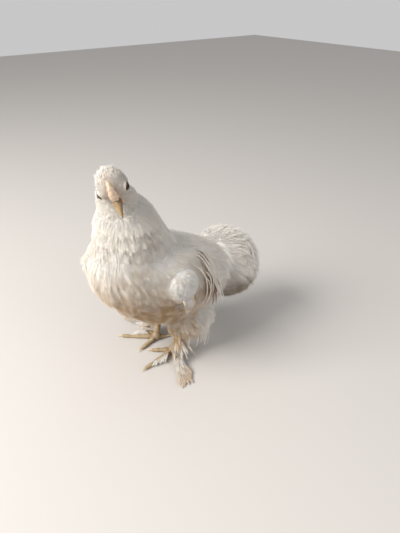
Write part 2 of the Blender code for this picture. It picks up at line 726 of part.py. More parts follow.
def toe(side, name, stand, kind, degrees, length, group):
    """A toe with its pads flat on the ground and low scutes across its top."""
    foot = Vector((stand.x * side, stand.y, 0.0))
    ahead = outward(degrees, side)
    cross = Vector((-ahead.y, ahead.x, 0.0))
    rings = []
    steps = max(6, round(length / 0.0052))
    for k in range(steps):
        t = k / (steps - 1)
        radius = TOE_RADIUS * min(0.62 + 1.1 * t, 1.08 - 0.34 * t) * (1.0 if k % 2 else 0.94)
        middle = foot + ahead * mix(0.003, length, t)
        top = 1.75 * radius + 0.0022 * (1.0 - t) ** 2
        ring = []
        for s in range(8):
            a = 2 * math.pi * (s + 0.5) / 8
            flat = max(0.0, 0.5 + 0.62 * math.sin(a))
            ring.append(middle + cross * radius * 1.04 * math.cos(a) + Vector((0.0, 0.0, top * min(flat, 1.0))))
        rings.append(ring)
    end = foot + ahead * (length + TOE_RADIUS * 0.30) + Vector((0.0, 0.0, TOE_RADIUS * 0.55))
    pieces = [closed_loft(rings, None, end)]
    if kind in TOE_FEATHERS:
        count, roots, fan, lengths, width, lowest, step = TOE_FEATHERS[kind]
        for m in range(count):
            f = m / (count - 1)
            out = outward(degrees + mix(*fan, f), side)
            root = foot + ahead * length * mix(*roots, f)
            root.z = 0.0040 + step * m
            pieces.append(feather_out(root, out, mix(*lengths, f), lowest + step * m, width, FEATHER_ARCH))
    return fuse(name, pieces, "leg", group)


def claw(side, name, stand, degrees, length, group):
    """A curved claw at the end of a toe."""
    foot = Vector((stand.x * side, stand.y, 0.0))
    ahead = outward(degrees, side)
    cross = Vector((-ahead.y, ahead.x, 0.0))
    rings = []
    steps = 4
    for k in range(steps):
        t = k / steps
        radius = CLAW_RADIUS * (1.0 - t) ** 0.7
        middle = foot + ahead * (length - 0.0012 + CLAW_LENGTH * t)
        middle.z = 0.0023 + 0.0008 * math.sin(math.pi * t) - 0.0010 * t ** 2
        rings.append([middle + cross * radius * math.cos(a) + Vector((0.0, 0.0, radius * 1.1 * math.sin(a)))
                      for a in (2 * math.pi * s / 7 for s in range(7))])
    tip = foot + ahead * (length - 0.0012 + CLAW_LENGTH)
    tip.z = CLAW_CLEAR
    return mesh_object(name, closed_loft(rings, None, tip), "horn", group)


def legs(group):
    """Both legs: thigh, shank, four toes and four claws on each side."""
    for letter, side in (("L", 1), ("R", -1)):
        stand, toes = FEET[letter]
        upper = thigh(side, f"thigh_{letter}", group)
        cut_clear(upper, bpy.data.objects["torso"])
        lower = shank(side, f"shank_{letter}", stand, toes, group)
        cut_clear(lower, upper)
        for kind, (degrees, length) in toes.items():
            part = toe(side, f"toe_{letter}_{kind}", stand, kind, degrees, length, group)
            cut_clear(part, lower)
            nail = claw(side, f"claw_{letter}_{kind}", stand, degrees, length, group)
            cut_clear(nail, part)


def clear_scene():
    """Removes what the file opened with."""
    for obj in list(bpy.data.objects):
        bpy.data.objects.remove(obj)


def build():
    clear_scene()
    group = bpy.data.collections.new("bantam_hen")
    bpy.context.scene.collection.children.link(group)
    trunk = torso(group)
    skull = head(group)
    ball_l, ball_r = eyes(group)
    cut_clear(skull, ball_l, ball_r)
    hackle = neck(group)
    cut_clear(hackle, trunk, skull)
    upper, lower = beak(group)
    cut_clear(upper, skull)
    cut_clear(lower, skull, upper)
    crest = comb(group)
    cut_clear(crest, skull, upper)
    lobes = wattles(group)
    for lobe in lobes:
        cut_clear(lobe, skull, lower, upper)
    cut_clear(hackle, lower, *lobes)
    rear = tail(group)
    cut_clear(rear, trunk)
    legs(group)
    for letter, side in (("L", 1), ("R", -1)):
        flank = wing(side, f"wing_{letter}", group)
        cut_clear(flank, trunk, hackle, bpy.data.objects[f"thigh_{letter}"], rear)
    for obj in group.objects:
        obj.data.transform(Matrix.Translation(STANCE_SHIFT))
        obj.data.shade_smooth()
        obj.data.set_sharp_from_angle(angle=math.radians(35.0))


build()
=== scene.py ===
# %% [markdown]
# # A feather-legged bantam hen, still and life size
#
# The solids of the hen are loaded as a fixed frame. This script dresses them: one skin under the
# plumage, thousands of small body feathers combed over it, the long feathers of wings, tail, thighs
# and feet one by one, and the bare parts with surfaces of their own: eyes, comb, beak, wattles, legs
# and claws.
# Everything is in metres, she faces -Y, and her left side is at +X.

import math
import random

import bmesh
import bpy
import numpy as np
from mathutils import Matrix, Vector
from mathutils.kdtree import KDTree


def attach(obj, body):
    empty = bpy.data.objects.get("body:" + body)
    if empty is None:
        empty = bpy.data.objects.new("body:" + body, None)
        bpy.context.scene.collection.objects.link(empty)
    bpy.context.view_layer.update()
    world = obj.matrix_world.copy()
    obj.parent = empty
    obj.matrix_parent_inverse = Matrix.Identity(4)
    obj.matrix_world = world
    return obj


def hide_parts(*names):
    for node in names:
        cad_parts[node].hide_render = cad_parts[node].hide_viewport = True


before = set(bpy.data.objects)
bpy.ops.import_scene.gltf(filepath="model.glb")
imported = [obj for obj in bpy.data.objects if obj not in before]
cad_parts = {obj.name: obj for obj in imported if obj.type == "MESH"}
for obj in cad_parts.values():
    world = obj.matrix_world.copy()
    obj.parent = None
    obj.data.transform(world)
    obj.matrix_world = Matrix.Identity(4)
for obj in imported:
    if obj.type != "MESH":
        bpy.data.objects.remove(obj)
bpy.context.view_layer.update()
scene = bpy.context.scene


# %% [markdown]
# ## Where things are
#
# The solids were drawn from the middle of the hen's stance and then moved as one, so that her box
# is centred. The same move, STANCE, takes the places of head, tail, thighs and feet into the frame;
# the puffs, their locks and the fluff are named in the frame itself. The head has its own frame, in
# which it looks along -Y, because it is turned, tilted and bowed. Places are those of her left side.

# %% Shared places
STANCE = Vector((0.0008, -0.0236, 0.0))
HEAD_CENTRE = Vector((0.005, -0.062, 0.2480))
HEAD_FRAME = (Matrix.Translation(HEAD_CENTRE + STANCE) @ Matrix.Rotation(math.radians(58.0), 4, "Z")
              @ Matrix.Rotation(math.radians(-19.0), 4, "Y") @ Matrix.Rotation(math.radians(36.0), 4, "X"))
EYE_PLACE = Vector((0.0131, -0.0075, 0.0022))
EYE_LOOK = Vector((0.93, -0.34, 0.10)).normalized()
EYE_RADIUS = 0.0050
ORBIT_HALF = Vector((0.0088, 0.0088, 0.0060))
ORBIT_DEEPER = 0.0018
TAIL_CENTRE = Vector((0.0, 0.0950, 0.098)) + STANCE
TAIL_POLE = Vector((0.0, -0.45, 0.89)).normalized()
TAIL_RADIUS = 0.0515
TAIL_FLAT = 0.94
RUMP_HALF = Vector((0.0502, 0.0502, 0.0480))
THIGH_CENTRE = Vector((0.0300, 0.016, 0.0650))
THIGH_HALF = Vector((0.0270, 0.0380, 0.0335))
PUFF_CENTRE = Vector((0.0615, -0.0405, 0.1340))
PUFF_RADIUS = 0.0182
PUFF_THICK = 0.0140
FLUFF_CENTRE = Vector((0.0530, 0.0100, 0.0560))
FLUFF_RADIUS = 0.0260
LOCK_PLACE = Vector((0.0690, -0.0373, 0.1080))
FACE_PLACE = Vector((0.0, -0.0180, 0.0040))
BROW_PLACE = Vector((0.0, -0.0110, 0.0115))
COMB_PLACE = Vector((0.0, -0.0030, 0.0175))
NAPE_PLACE = Vector((-0.0030, -0.0770, 0.2475))
NAPE_HALF = Vector((0.0125, 0.0130, 0.0125))
SIDES = (("L", 1), ("R", -1))
LEFT_AND_RIGHT = (1, -1)


def mix(a, b, share):
    """A value part of the way from a to b."""
    return a + (b - a) * share


def smooth(x, low, high):
    """0 below low, 1 above high, and an even slope between; low may be the larger."""
    t = np.clip((x - low) / (high - low), 0.0, 1.0)
    return t * t * (3.0 - 2.0 * t)


def mirrored(place, side):
    """A place of the left side where side is 1, and its mirror on the right where it is -1."""
    return Vector((place.x * side, place.y, place.z))


def turns(count):
    """Even steps round a circle, as angles."""
    return [2 * math.pi * m / count for m in range(count)]


# %% [markdown]
# ## Camera, light and floor
#
# The camera stands where the picture was taken from: high, to the hen's front left, looking 31
# degrees down. The light is that of an open yard: a broad soft light before her, on the camera's
# left, under an even sky, and a weak cool one from her left that keeps the shade open. Her left
# flank lies in gentle shade. The floor is plain and pale.

# %% Camera
FOCAL_PIXELS = 480.0
PICTURE_HEIGHT = 533.0
SENSOR = 36.0
VIEW_TURN = math.radians(52.0)
VIEW_DOWN = math.radians(31.0)
camera = bpy.data.objects.new("camera", bpy.data.cameras.new("camera"))
scene.collection.objects.link(camera)
camera.location = Vector((0.4350, -0.2817, 0.4340)) + STANCE
view_line = Vector((-math.sin(VIEW_TURN) * math.cos(VIEW_DOWN),
                    math.cos(VIEW_TURN) * math.cos(VIEW_DOWN), -math.sin(VIEW_DOWN)))
camera.rotation_euler = view_line.to_track_quat("-Z", "Y").to_euler()
camera.data.sensor_width = SENSOR
camera.data.lens = SENSOR * FOCAL_PIXELS / PICTURE_HEIGHT
camera.data.clip_start = 0.02
scene.camera = camera


# %% Light
scene.world = bpy.data.worlds.new("sky")
scene.world.use_nodes = True
sky = scene.world.node_tree.nodes["Background"]
sky.inputs["Color"].default_value = (0.99, 0.985, 1.0, 1.0)
sky.inputs["Strength"].default_value = 0.58
scene.view_settings.view_transform = "Standard"


def soft_light(name, place, aim, size, watts, colour):
    """A square area light at a place, turned to its aim."""
    lamp = bpy.data.lights.new(name, "AREA")
    lamp.size = size
    lamp.energy = watts
    lamp.color = colour
    made = bpy.data.objects.new(name, lamp)
    made.location = place
    made.rotation_euler = (Vector(aim) - Vector(place)).to_track_quat("-Z", "Y").to_euler()
    scene.collection.objects.link(made)


soft_light("key", (-0.22, -1.24, 1.12), (0.0, 0.0, 0.12), 1.0, 41.5, (1.0, 0.98, 0.955))
soft_light("fill", (1.4, 0.2, 0.9), (0.0, 0.0, 0.12), 1.4, 6.5, (0.96, 0.97, 1.0))

# %% Floor
floor_mesh = bpy.data.meshes.new("floor")
floor_mesh.from_pydata([(-3, -3, 0), (3, -3, 0), (3, 3, 0), (-3, 3, 0)], [], [(0, 1, 2, 3)])
floor = bpy.data.objects.new("floor", floor_mesh)
scene.collection.objects.link(floor)


# %% [markdown]
# ## Building materials from a few shared effects
#
# A material here is a short list of nodes and links. The helper below makes each node, sets its
# values and wires it, so that a finish reads as a recipe. Effects that several finishes share are
# groups with named inputs.


# %% Node helper
def node(tree, kind, settings=None, **inputs):
    """Adds a node. Inputs are named with _ for spaces, and take a value or another node's output."""
    made = tree.nodes.new(kind)
    for key, value in (settings or {}).items():
        setattr(made, key, value)
    for key, value in inputs.items():
        index = int(key[1:]) if key[0] == "i" and key[1:].isdigit() else key.replace("_", " ")
        if isinstance(value, bpy.types.NodeSocket):
            tree.links.new(value, made.inputs[index])
        else:
            made.inputs[index].default_value = value
    return made


def maths(tree, operation, a, b=0.0, c=0.0):
    """A Math node's result."""
    return node(tree, "ShaderNodeMath", {"operation": operation}, i0=a, i1=b, i2=c).outputs[0]


def times(tree, a, b):
    """The product of two values."""
    return maths(tree, "MULTIPLY", a, b)


def vector_maths(tree, operation, *values):
    """A Vector Math node."""
    values = {f"i{k}": value for k, value in enumerate(values)}
    return node(tree, "ShaderNodeVectorMath", {"operation": operation}, **values)


def blend(tree, share, a, b):
    """A colour part of the way from a to b."""
    made = node(tree, "ShaderNodeMix", {"data_type": "RGBA", "blend_type": "MIX"}, i0=share, i6=a, i7=b)
    return made.outputs[2]


def ramp(tree, value, low, high):
    """0 at low, 1 at high, smoothly."""
    made = node(tree, "ShaderNodeMapRange", {"interpolation_type": "SMOOTHSTEP"}, Value=value,
                From_Min=low, From_Max=high)
    return made.outputs[0]


def in_place(tree):
    """The place on the body that is painted."""
    return node(tree, "ShaderNodeTexCoord").outputs["Object"]


def noise(tree, place, scale, detail, **more):
    """Soft noise over a place."""
    made = node(tree, "ShaderNodeTexNoise", Vector=place, Scale=scale, Detail=detail, **more)
    return made.outputs["Fac"]


def stored(tree, name="along", kind="Fac"):
    """A value that the mesh keeps for each point."""
    return node(tree, "ShaderNodeAttribute", {"attribute_name": name}).outputs[kind]


def relief(tree, shader, height, strength, **more):
    """Fine relief on a finish, 0.3 mm deep at the most."""
    bump = node(tree, "ShaderNodeBump", Height=height, Strength=strength, Distance=0.0003, **more)
    tree.links.new(bump.outputs["Normal"], shader.inputs["Normal"])


def group(name, ins, outs):
    """An empty shader group with named inputs and outputs, and its two end nodes."""
    tree = bpy.data.node_groups.new(name, "ShaderNodeTree")
    for label, kind, value in ins:
        socket = tree.interface.new_socket(label, in_out="INPUT", socket_type=kind)
        socket.default_value = value
    for label, kind in outs:
        tree.interface.new_socket(label, in_out="OUTPUT", socket_type=kind)
    return tree, tree.nodes.new("NodeGroupInput"), tree.nodes.new("NodeGroupOutput")


FLOAT, COLOUR = "NodeSocketFloat", "NodeSocketColor"


def material(name, **fixed):
    """A new Principled material: its tree and its shader node."""
    made = bpy.data.materials.new(name)
    made.use_nodes = True
    shader = made.node_tree.nodes["Principled BSDF"]
    for key, value in fixed.items():
        shader.inputs[key.replace("_", " ")].default_value = value
    return made, made.node_tree, shader


# %% [markdown]
# ## The hen's markings
#
# She is a cream white bird with a buff wash on the lower breast and belly, faint warm stains on the
# breast, white puffs and fluff, and a peach face. Her back, tail and head are greyed as painted
# shade, and under the rump a brown is painted that is partly stain and partly painted shade. One
# group paints all of that from the place on the body, so that skin and feathers agree wherever
# they meet.

# %% Markings group
TONES = [
    ("Cream", COLOUR, (0.92, 0.86, 0.755, 1.0)),
    ("Buff", COLOUR, (0.52, 0.30, 0.115, 1.0)),
    ("Grey", COLOUR, (0.60, 0.54, 0.48, 1.0)),
    ("White", COLOUR, (0.97, 0.95, 0.90, 1.0)),
    ("Peach", COLOUR, (0.72, 0.55, 0.42, 1.0)),
    ("Brown", COLOUR, (0.27, 0.195, 0.13, 1.0)),
]
marks, enter, leave = group("markings", TONES, [("Color", COLOUR)])
where = in_place(marks)
cloud = noise(marks, where, 26.0, 3.0, Roughness=0.55)
fine_cloud = noise(marks, where, 95.0, 2.0)
axes = node(marks, "ShaderNodeSeparateXYZ", Vector=where)
x, y, z = axes.outputs
height = maths(marks, "ADD", z, times(marks, cloud, 0.045))


def zone(value, none, full, *further):
    """A share that grows where the value passes from none to full, times any further shares."""
    share = ramp(marks, value, none, full)
    for factor in further:
        share = times(marks, share, factor)
    return share


low = ramp(marks, height, 0.186, 0.122)
belly = times(marks, zone(y, 0.035, -0.045, low), ramp(marks, height, 0.030, 0.060))
patchy = maths(marks, "MULTIPLY_ADD", ramp(marks, fine_cloud, 0.38, 0.62), 0.35, 0.60)
# Grey over the back, the wings' tops and the tail is painted shade.
back_shade = times(marks, ramp(marks, z, 0.135, 0.165), ramp(marks, z, 0.245, 0.215))
back_shade = maths(marks, "MAXIMUM", zone(cloud, 0.35, 0.65, back_shade), zone(y, 0.030, 0.060, 0.45))
stain = times(marks, ramp(marks, cloud, 0.46, 0.70), ramp(marks, y, -0.030, -0.075))
# Brown under the rump: partly a stain, partly painted shade.
rump_stain_and_shade = times(marks, ramp(marks, height, 0.128, 0.092), ramp(marks, y, 0.015, 0.038))
tone = enter.outputs["Cream"]
for share, colour in ((times(marks, back_shade, 0.32), "Grey"),
                      (times(marks, belly, patchy), "Buff"),
                      (zone(z, 0.205, 0.170, stain, 0.35), "Buff"),
                      (times(marks, rump_stain_and_shade, 0.85), "Brown"),
                      # Grey on the head, above the neck, is painted shade.
                      (zone(z, 0.215, 0.232, 0.22), "Grey")):
    tone = blend(marks, share, tone, enter.outputs[colour])

either_side = node(marks, "ShaderNodeCombineXYZ", X=maths(marks, "ABSOLUTE", x), Y=y, Z=z).outputs[0]
for place, reach, share in ((PUFF_CENTRE, PUFF_RADIUS * 1.34, 0.9), (LOCK_PLACE, 0.0110, 0.6),
                            (FLUFF_CENTRE, FLUFF_RADIUS, 0.40)):
    gap = vector_maths(marks, "DISTANCE", either_side, place).outputs["Value"]
    gap = maths(marks, "MULTIPLY_ADD", maths(marks, "SUBTRACT", fine_cloud, 0.5), 0.012, gap)
    tone = blend(marks, zone(gap, reach, reach * 0.72, share), tone, enter.outputs["White"])
for place, reach, share in ((FACE_PLACE, 0.0160, 0.55), (BROW_PLACE, 0.0105, 0.50),
                            (COMB_PLACE, 0.0075, 0.40)):
    gap = vector_maths(marks, "DISTANCE", where, HEAD_FRAME @ place).outputs["Value"]
    tone = blend(marks, zone(gap, reach, reach * 0.5, share), tone, enter.outputs["Peach"])
marks.links.new(tone, leave.inputs["Color"])


# %% [markdown]
# A feather's blade is hundreds of parallel barbs that slant out and forward from the quill. They
# are too fine to model, so a group draws them from the blade's own coordinates: "along" runs from
# 0 at the root to 1 at the tip and "across" from -1 to 1 over the blade.

# %% Barb group
BARB_VALUES = [("Rows", FLOAT, 40.0), ("Slant", FLOAT, 0.6), ("Clumps", FLOAT, 6.0)]
barbs, enter, leave = group("barbs", BARB_VALUES, [("Height", FLOAT), ("Streak", FLOAT)])
along = stored(barbs)
across = stored(barbs, "across")
own = stored(barbs, "tone")
out = maths(barbs, "ABSOLUTE", across)
slanted = maths(barbs, "SUBTRACT", along, times(barbs, out, enter.outputs["Slant"]))
ridges = times(barbs, slanted, enter.outputs["Rows"])
ridges = maths(barbs, "SINE", times(barbs, ridges, 6.28))
spot = node(barbs, "ShaderNodeCombineXYZ", X=times(barbs, slanted, enter.outputs["Clumps"]),
            Y=times(barbs, across, 0.7), Z=times(barbs, own, 37.0))
clumped = noise(barbs, spot.outputs[0], 1.6, 2.0)
barbs.links.new(maths(barbs, "MULTIPLY_ADD", ridges, 0.25, clumped), leave.inputs["Height"])
barbs.links.new(clumped, leave.inputs["Streak"])


# %% Plumage materials
ROOT_SHADE_TONE = (0.40, 0.31, 0.23, 1.0)
STREAK_TONE = (0.20, 0.13, 0.085, 1.0)
RUST_AND_GAP_SHADE = (0.17, 0.06, 0.025, 1.0)
TAN = (0.50, 0.36, 0.24, 1.0)


def plumage(name, rows, shade, edge_rust_and_shade=0.0, edge_rust_and_shade_colour=RUST_AND_GAP_SHADE, tip=0.0, tip_colour=TAN, streaks=0.0):
    """Feather finish: the markings, painted shade toward the root, barbs and a tone of each feather's own.

    Edges of rust and painted shade, tips of another colour and dark streaks are added where asked.
    """
    made, tree, shader = material(name, Roughness=0.75, Sheen_Weight=0.20, Sheen_Roughness=0.5,
                                  Specular_IOR_Level=0.20, Subsurface_Weight=0.60,
                                  Subsurface_Scale=0.0022, Subsurface_Radius=(1.0, 0.85, 0.70))
    colour = node(tree, "ShaderNodeGroup", {"node_tree": marks}).outputs["Color"]
    barb = node(tree, "ShaderNodeGroup", {"node_tree": barbs}, Rows=rows)
    along = stored(tree)
    own = stored(tree, "tone")
    if tip:
        colour = blend(tree, times(tree, ramp(tree, along, 0.30, 0.75), tip), colour, tip_colour)
    # Toward the root each feather is darkened as painted shade, where the feathers over it cover it.
    root = ramp(tree, along, 0.75, 0.15)
    colour = blend(tree, times(tree, root, shade), colour, ROOT_SHADE_TONE)
    if streaks:
        dark = times(tree, ramp(tree, barb.outputs["Streak"], 0.50, 0.62), streaks)
        colour = blend(tree, dark, colour, STREAK_TONE)
    uneven = maths(tree, "SUBTRACT", barb.outputs["Streak"], 0.5)
    light = maths(tree, "MULTIPLY_ADD", own, 0.08, 0.94)
    light = maths(tree, "MULTIPLY_ADD", uneven, 0.18, light)
    colour = node(tree, "ShaderNodeHueSaturation", Value=light, Color=colour).outputs["Color"]
    # Along one edge past the root: rust, and painted shade in the gaps between feathers.
    if edge_rust_and_shade:
        across = stored(tree, "across")
        edge = ramp(tree, maths(tree, "MULTIPLY_ADD", uneven, 1.4, across), 0.05, 0.75)
        past_root = times(tree, ramp(tree, along, 0.04, 0.26), edge_rust_and_shade)
        colour = blend(tree, times(tree, edge, past_root), colour, edge_rust_and_shade_colour)
    tree.links.new(colour, shader.inputs["Base Color"])
    away = stored(tree, "out", "Vector")
    own_normal = node(tree, "ShaderNodeNewGeometry").outputs["Normal"]
    agree = vector_maths(tree, "DOT_PRODUCT", own_normal, away).outputs["Value"]
    agree = times(tree, ramp(tree, agree, 0.0, 0.40), 0.90)
    soft = node(tree, "ShaderNodeMix", {"data_type": "VECTOR"}, i0=agree, i4=own_normal, i5=away)
    soft = vector_maths(tree, "NORMALIZE", soft.outputs[1]).outputs[0]
    relief(tree, shader, barb.outputs["Height"], 0.20, Normal=soft)
    return made


coat_finish = plumage("coat_feathers", 26.0, 0.17)
print("plumage materials ready")


# %% [markdown]
# ## One skin under the feathers
#
# Trunk, neck, head and thighs are separate solids, but a bird has one skin. Copies of the first
# three, with plain shapes for thighs, rump's end, eye sockets, the puffs under the wings and the
# hollow of the nape, are joined by a voxel remesh and smoothed. The whole is then drawn in by the
# depth of the coat that will grow on it, about 2 mm on the head and 4 on the body, but not where
# the wings lie.


# %% Skin
def ellipsoid(centre, half, rings=16, sides=24):
    """A bmesh ellipsoid."""
    net = bmesh.new()
    bmesh.ops.create_uvsphere(net, u_segments=sides, v_segments=rings, radius=1.0)
    net.transform(Matrix.Translation(centre) @ Matrix.Diagonal((*half, 1.0)))
    return net


def evaluated_mesh(obj):
    """What the object's modifiers make, as a mesh of its own."""
    graph = bpy.context.evaluated_depsgraph_get()
    graph.update()
    return bpy.data.meshes.new_from_object(obj.evaluated_get(graph), depsgraph=graph)


def remeshed(nets, voxel, rounds):
    """The nets as one closed smoothed surface."""
    whole = bmesh.new()
    for net in nets:
        piece = bpy.data.meshes.new("piece")
        net.to_mesh(piece)
        whole.from_mesh(piece)
        bpy.data.meshes.remove(piece)
        net.free()
    mesh = bpy.data.meshes.new("whole")
    whole.to_mesh(mesh)
    whole.free()
    obj = bpy.data.objects.new("whole", mesh)
    scene.collection.objects.link(obj)
    grid = obj.modifiers.new("grid", "REMESH")
    grid.mode = "VOXEL"
    grid.voxel_size = voxel
    ease = obj.modifiers.new("ease", "SMOOTH")
    ease.factor = 0.5
    ease.iterations = rounds
    made = evaluated_mesh(obj)
    bpy.data.objects.remove(obj)
    return made


def vectors(values, name):
    """One vector for each point of a mesh, as an array."""
    flat = np.empty(len(values) * 3, np.float32)
    values.foreach_get(name, flat)
    return flat.reshape(-1, 3).astype(float)


def move_points(mesh, points):
    """Puts the mesh's points in new places."""
    mesh.vertices.foreach_set("co", points.astype(np.float32).ravel())
    mesh.update()


def spread_out(values, ends, shares):
    """Draws each point's value toward the mean of its neighbours, once for each share."""
    count = np.bincount(ends.ravel(), minlength=len(values))
    for share in shares:
        columns = [np.bincount(ends[:, 0], weights=column[ends[:, 1]], minlength=len(values))
                   + np.bincount(ends[:, 1], weights=column[ends[:, 0]], minlength=len(values))
                   for column in values.T]
        values = values + (np.stack(columns, axis=1) / count[:, None] - values) * share
    return values


def from_solid(name):
    """A solid's own mesh, its doubled points merged."""
    net = bmesh.new()
    net.from_mesh(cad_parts[name].data)
    bmesh.ops.remove_doubles(net, verts=net.verts, dist=1e-5)
    return net


def within(points, centre, half):
    """How far out each point is from a centre, as a share of the half sizes."""
    return np.linalg.norm((points - np.array(centre)) / np.array(half), axis=1)


SKIN_VOXEL = 0.0016
COAT_DEPTH, FACE_DEPTH, WING_RAISE = 0.0042, 0.0016, 0.0045
body_nets = [from_solid(name) for name in ("torso", "neck", "head")]
for side in LEFT_AND_RIGHT:
    body_nets.append(ellipsoid(mirrored(THIGH_CENTRE, side) + STANCE, THIGH_HALF))
body_nets.append(ellipsoid(TAIL_CENTRE, RUMP_HALF))
for side in LEFT_AND_RIGHT:
    look = mirrored(EYE_LOOK, side)
    orbit = ellipsoid(Vector(), ORBIT_HALF)
    orbit.transform(look.to_track_quat("Z", "Y").to_matrix().to_4x4())
    orbit.transform(Matrix.Translation(mirrored(EYE_PLACE, side) - look * ORBIT_DEEPER))
    orbit.transform(HEAD_FRAME)
    body_nets.append(orbit)
for side in LEFT_AND_RIGHT:
    body_nets.append(ellipsoid(mirrored(PUFF_CENTRE, side), (PUFF_THICK, PUFF_RADIUS, PUFF_RADIUS)))
body_nets.append(ellipsoid(NAPE_PLACE, NAPE_HALF))
skin_mesh = remeshed(body_nets, SKIN_VOXEL, 6)
skin_ends = np.empty(len(skin_mesh.edges) * 2, np.int32)
skin_mesh.edges.foreach_get("vertices", skin_ends)
skin_ends = skin_ends.reshape(-1, 2)
skin_points = spread_out(vectors(skin_mesh.vertices, "co"), skin_ends, (0.5, -0.515) * 45)
move_points(skin_mesh, skin_points)
near_head = smooth(within(skin_points, HEAD_CENTRE + STANCE, (0.030,) * 3), 1.15, 0.85)
wing_y, wing_z = skin_points[:, 1] - STANCE.y, skin_points[:, 2]
on_wing = np.hypot((wing_y + 0.002) / 0.052, (wing_z - 0.134) / 0.044)
on_side = smooth(np.abs(skin_points[:, 0]), 0.028, 0.045)
depth = mix(COAT_DEPTH, FACE_DEPTH, near_head)
depth -= WING_RAISE * smooth(on_wing, 1.10, 0.55) * on_side
skin_points -= vectors(skin_mesh.vertex_normals, "vector") * depth[:, None]
move_points(skin_mesh, skin_points)
skin = bpy.data.objects.new("skin", skin_mesh)
scene.collection.objects.link(skin)
for polygon in skin_mesh.polygons:
    polygon.use_smooth = True
print("skin:", len(skin_mesh.vertices), "points")


# %% [markdown]
# The skin is laid out flat by Smart UV Project. Each feather's own map later points at the place
# on this layout where it is rooted.

# %% Skin layout
bpy.context.view_layer.objects.active = skin
skin.select_set(True)
bpy.ops.object.mode_set(mode="EDIT")
bpy.ops.mesh.select_all(action="SELECT")
bpy.ops.uv.smart_project(angle_limit=math.radians(66.0), island_margin=0.004)
bpy.ops.object.mode_set(mode="OBJECT")
skin.select_set(False)
skin_mesh.uv_layers[0].name = "OFBake"


# %% [markdown]
# ## Combing the coat
#
# Each point of the skin gets the lie of its feathers, their length and width, how far they stand
# out and how much they curl back. A few plain fields are blended by place: away from the beak and
# the eyes on the head, away from the head down the neck, down and back over the trunk and under
# the wings, down on thighs and puffs, and away from the top of the tail's ball. Where neighbouring
# feathers part, the place is marked, so that down can fill it.

# %% Groom
skin_normals = spread_out(vectors(skin_mesh.vertex_normals, "vector"), skin_ends, (0.5,) * 10)
skin_normals /= np.linalg.norm(skin_normals, axis=1)[:, None]
to_head = np.array(HEAD_FRAME.inverted())
in_head = skin_points @ to_head[:3, :3].T + to_head[:3, 3]
head_centre = np.array(HEAD_CENTRE + STANCE)
turn_back = np.array(HEAD_FRAME)[:3, :3]

from_beak = in_head - np.array((0.0, -0.0230, -0.0030))
from_beak /= np.linalg.norm(from_beak, axis=1)[:, None]
head_lie = from_beak + np.array((0.0, 0.35, 0.0))
eye_gap = np.full(len(skin_points), 1.0)
for side in LEFT_AND_RIGHT:
    eye, look = np.array(mirrored(EYE_PLACE, side)), np.array(mirrored(EYE_LOOK, side))
    away = in_head - (eye + look * 0.002)
    gap = np.linalg.norm(away, axis=1)
    turn = smooth(gap, 0.0100, 0.0052)[:, None] * 0.9
    head_lie = head_lie * (1.0 - turn) + away / gap[:, None] * turn * 1.4
    eye_gap = np.minimum(eye_gap, gap)
head_lie = head_lie @ turn_back.T
neck_lie = skin_points - (head_centre + np.array((0.0, 0.004, 0.012)))
neck_lie /= np.linalg.norm(neck_lie, axis=1)[:, None]
rearward = smooth(skin_points[:, 1], -0.070, 0.020)[:, None]
front_lie, rear_lie = np.array((0.0, 0.42, -0.90)), np.array((0.0, 0.84, -0.54))
trunk_lie = front_lie * (1.0 - rearward) + rear_lie * rearward
thigh_lie = np.tile(np.array((0.0, 0.30, -0.95)), (len(skin_points), 1))
tail_lie = np.tile(-np.array(TAIL_POLE), (len(skin_points), 1))

height = skin_points[:, 2]
w_head = smooth(within(skin_points, HEAD_CENTRE + STANCE, (0.030, 0.030, 0.028)), 1.18, 0.72)
w_neck = smooth(height, 0.165, 0.205) * (1.0 - w_head)
w_tail = smooth(skin_points[:, 1], 0.050, 0.068)
w_thigh = np.zeros(len(skin_points))
for side in LEFT_AND_RIGHT:
    far_out = within(skin_points, mirrored(THIGH_CENTRE, side) + STANCE, THIGH_HALF)
    w_thigh = np.maximum(w_thigh, smooth(far_out, 1.15, 0.90))
w_thigh *= smooth(height, 0.085, 0.066) * (1.0 - w_tail)
w_wing = smooth(on_wing, 1.05, 0.75) * on_side * (1.0 - w_tail) * (1.0 - w_thigh)
slope = np.radians(mix(80.0, 62.0, smooth(wing_z + 0.4 * wing_y, 0.120, 0.175)))
wing_lie = np.stack((np.zeros(len(slope)), np.cos(slope), -np.sin(slope)), axis=1)
w_trunk = np.clip(1.0 - w_head - w_neck - w_tail - w_thigh - w_wing, 0.0, 1.0)

shares = np.stack((w_head, w_neck, w_trunk, w_thigh, w_tail, w_wing), axis=1) + 1e-6
shares /= shares.sum(axis=1)[:, None]
lie = sum(shares[:, k:k + 1] * field for k, field in
          enumerate((head_lie, neck_lie, trunk_lie, thigh_lie, tail_lie, wing_lie)))
folded = skin_points.copy()
folded[:, 0] = np.abs(folded[:, 0])
on_puff = smooth(within(folded, PUFF_CENTRE, (PUFF_RADIUS * 1.15,) * 3), 1.10, 0.75)
lie = lie * (1.0 - on_puff[:, None]) + np.array((0.0, 0.10, -1.0)) * on_puff[:, None]
lie = spread_out(lie, skin_ends, (0.5,) * 14)
lie -= skin_normals * (lie * skin_normals).sum(axis=1)[:, None]
lie /= np.linalg.norm(lie, axis=1)[:, None] + 1e-9

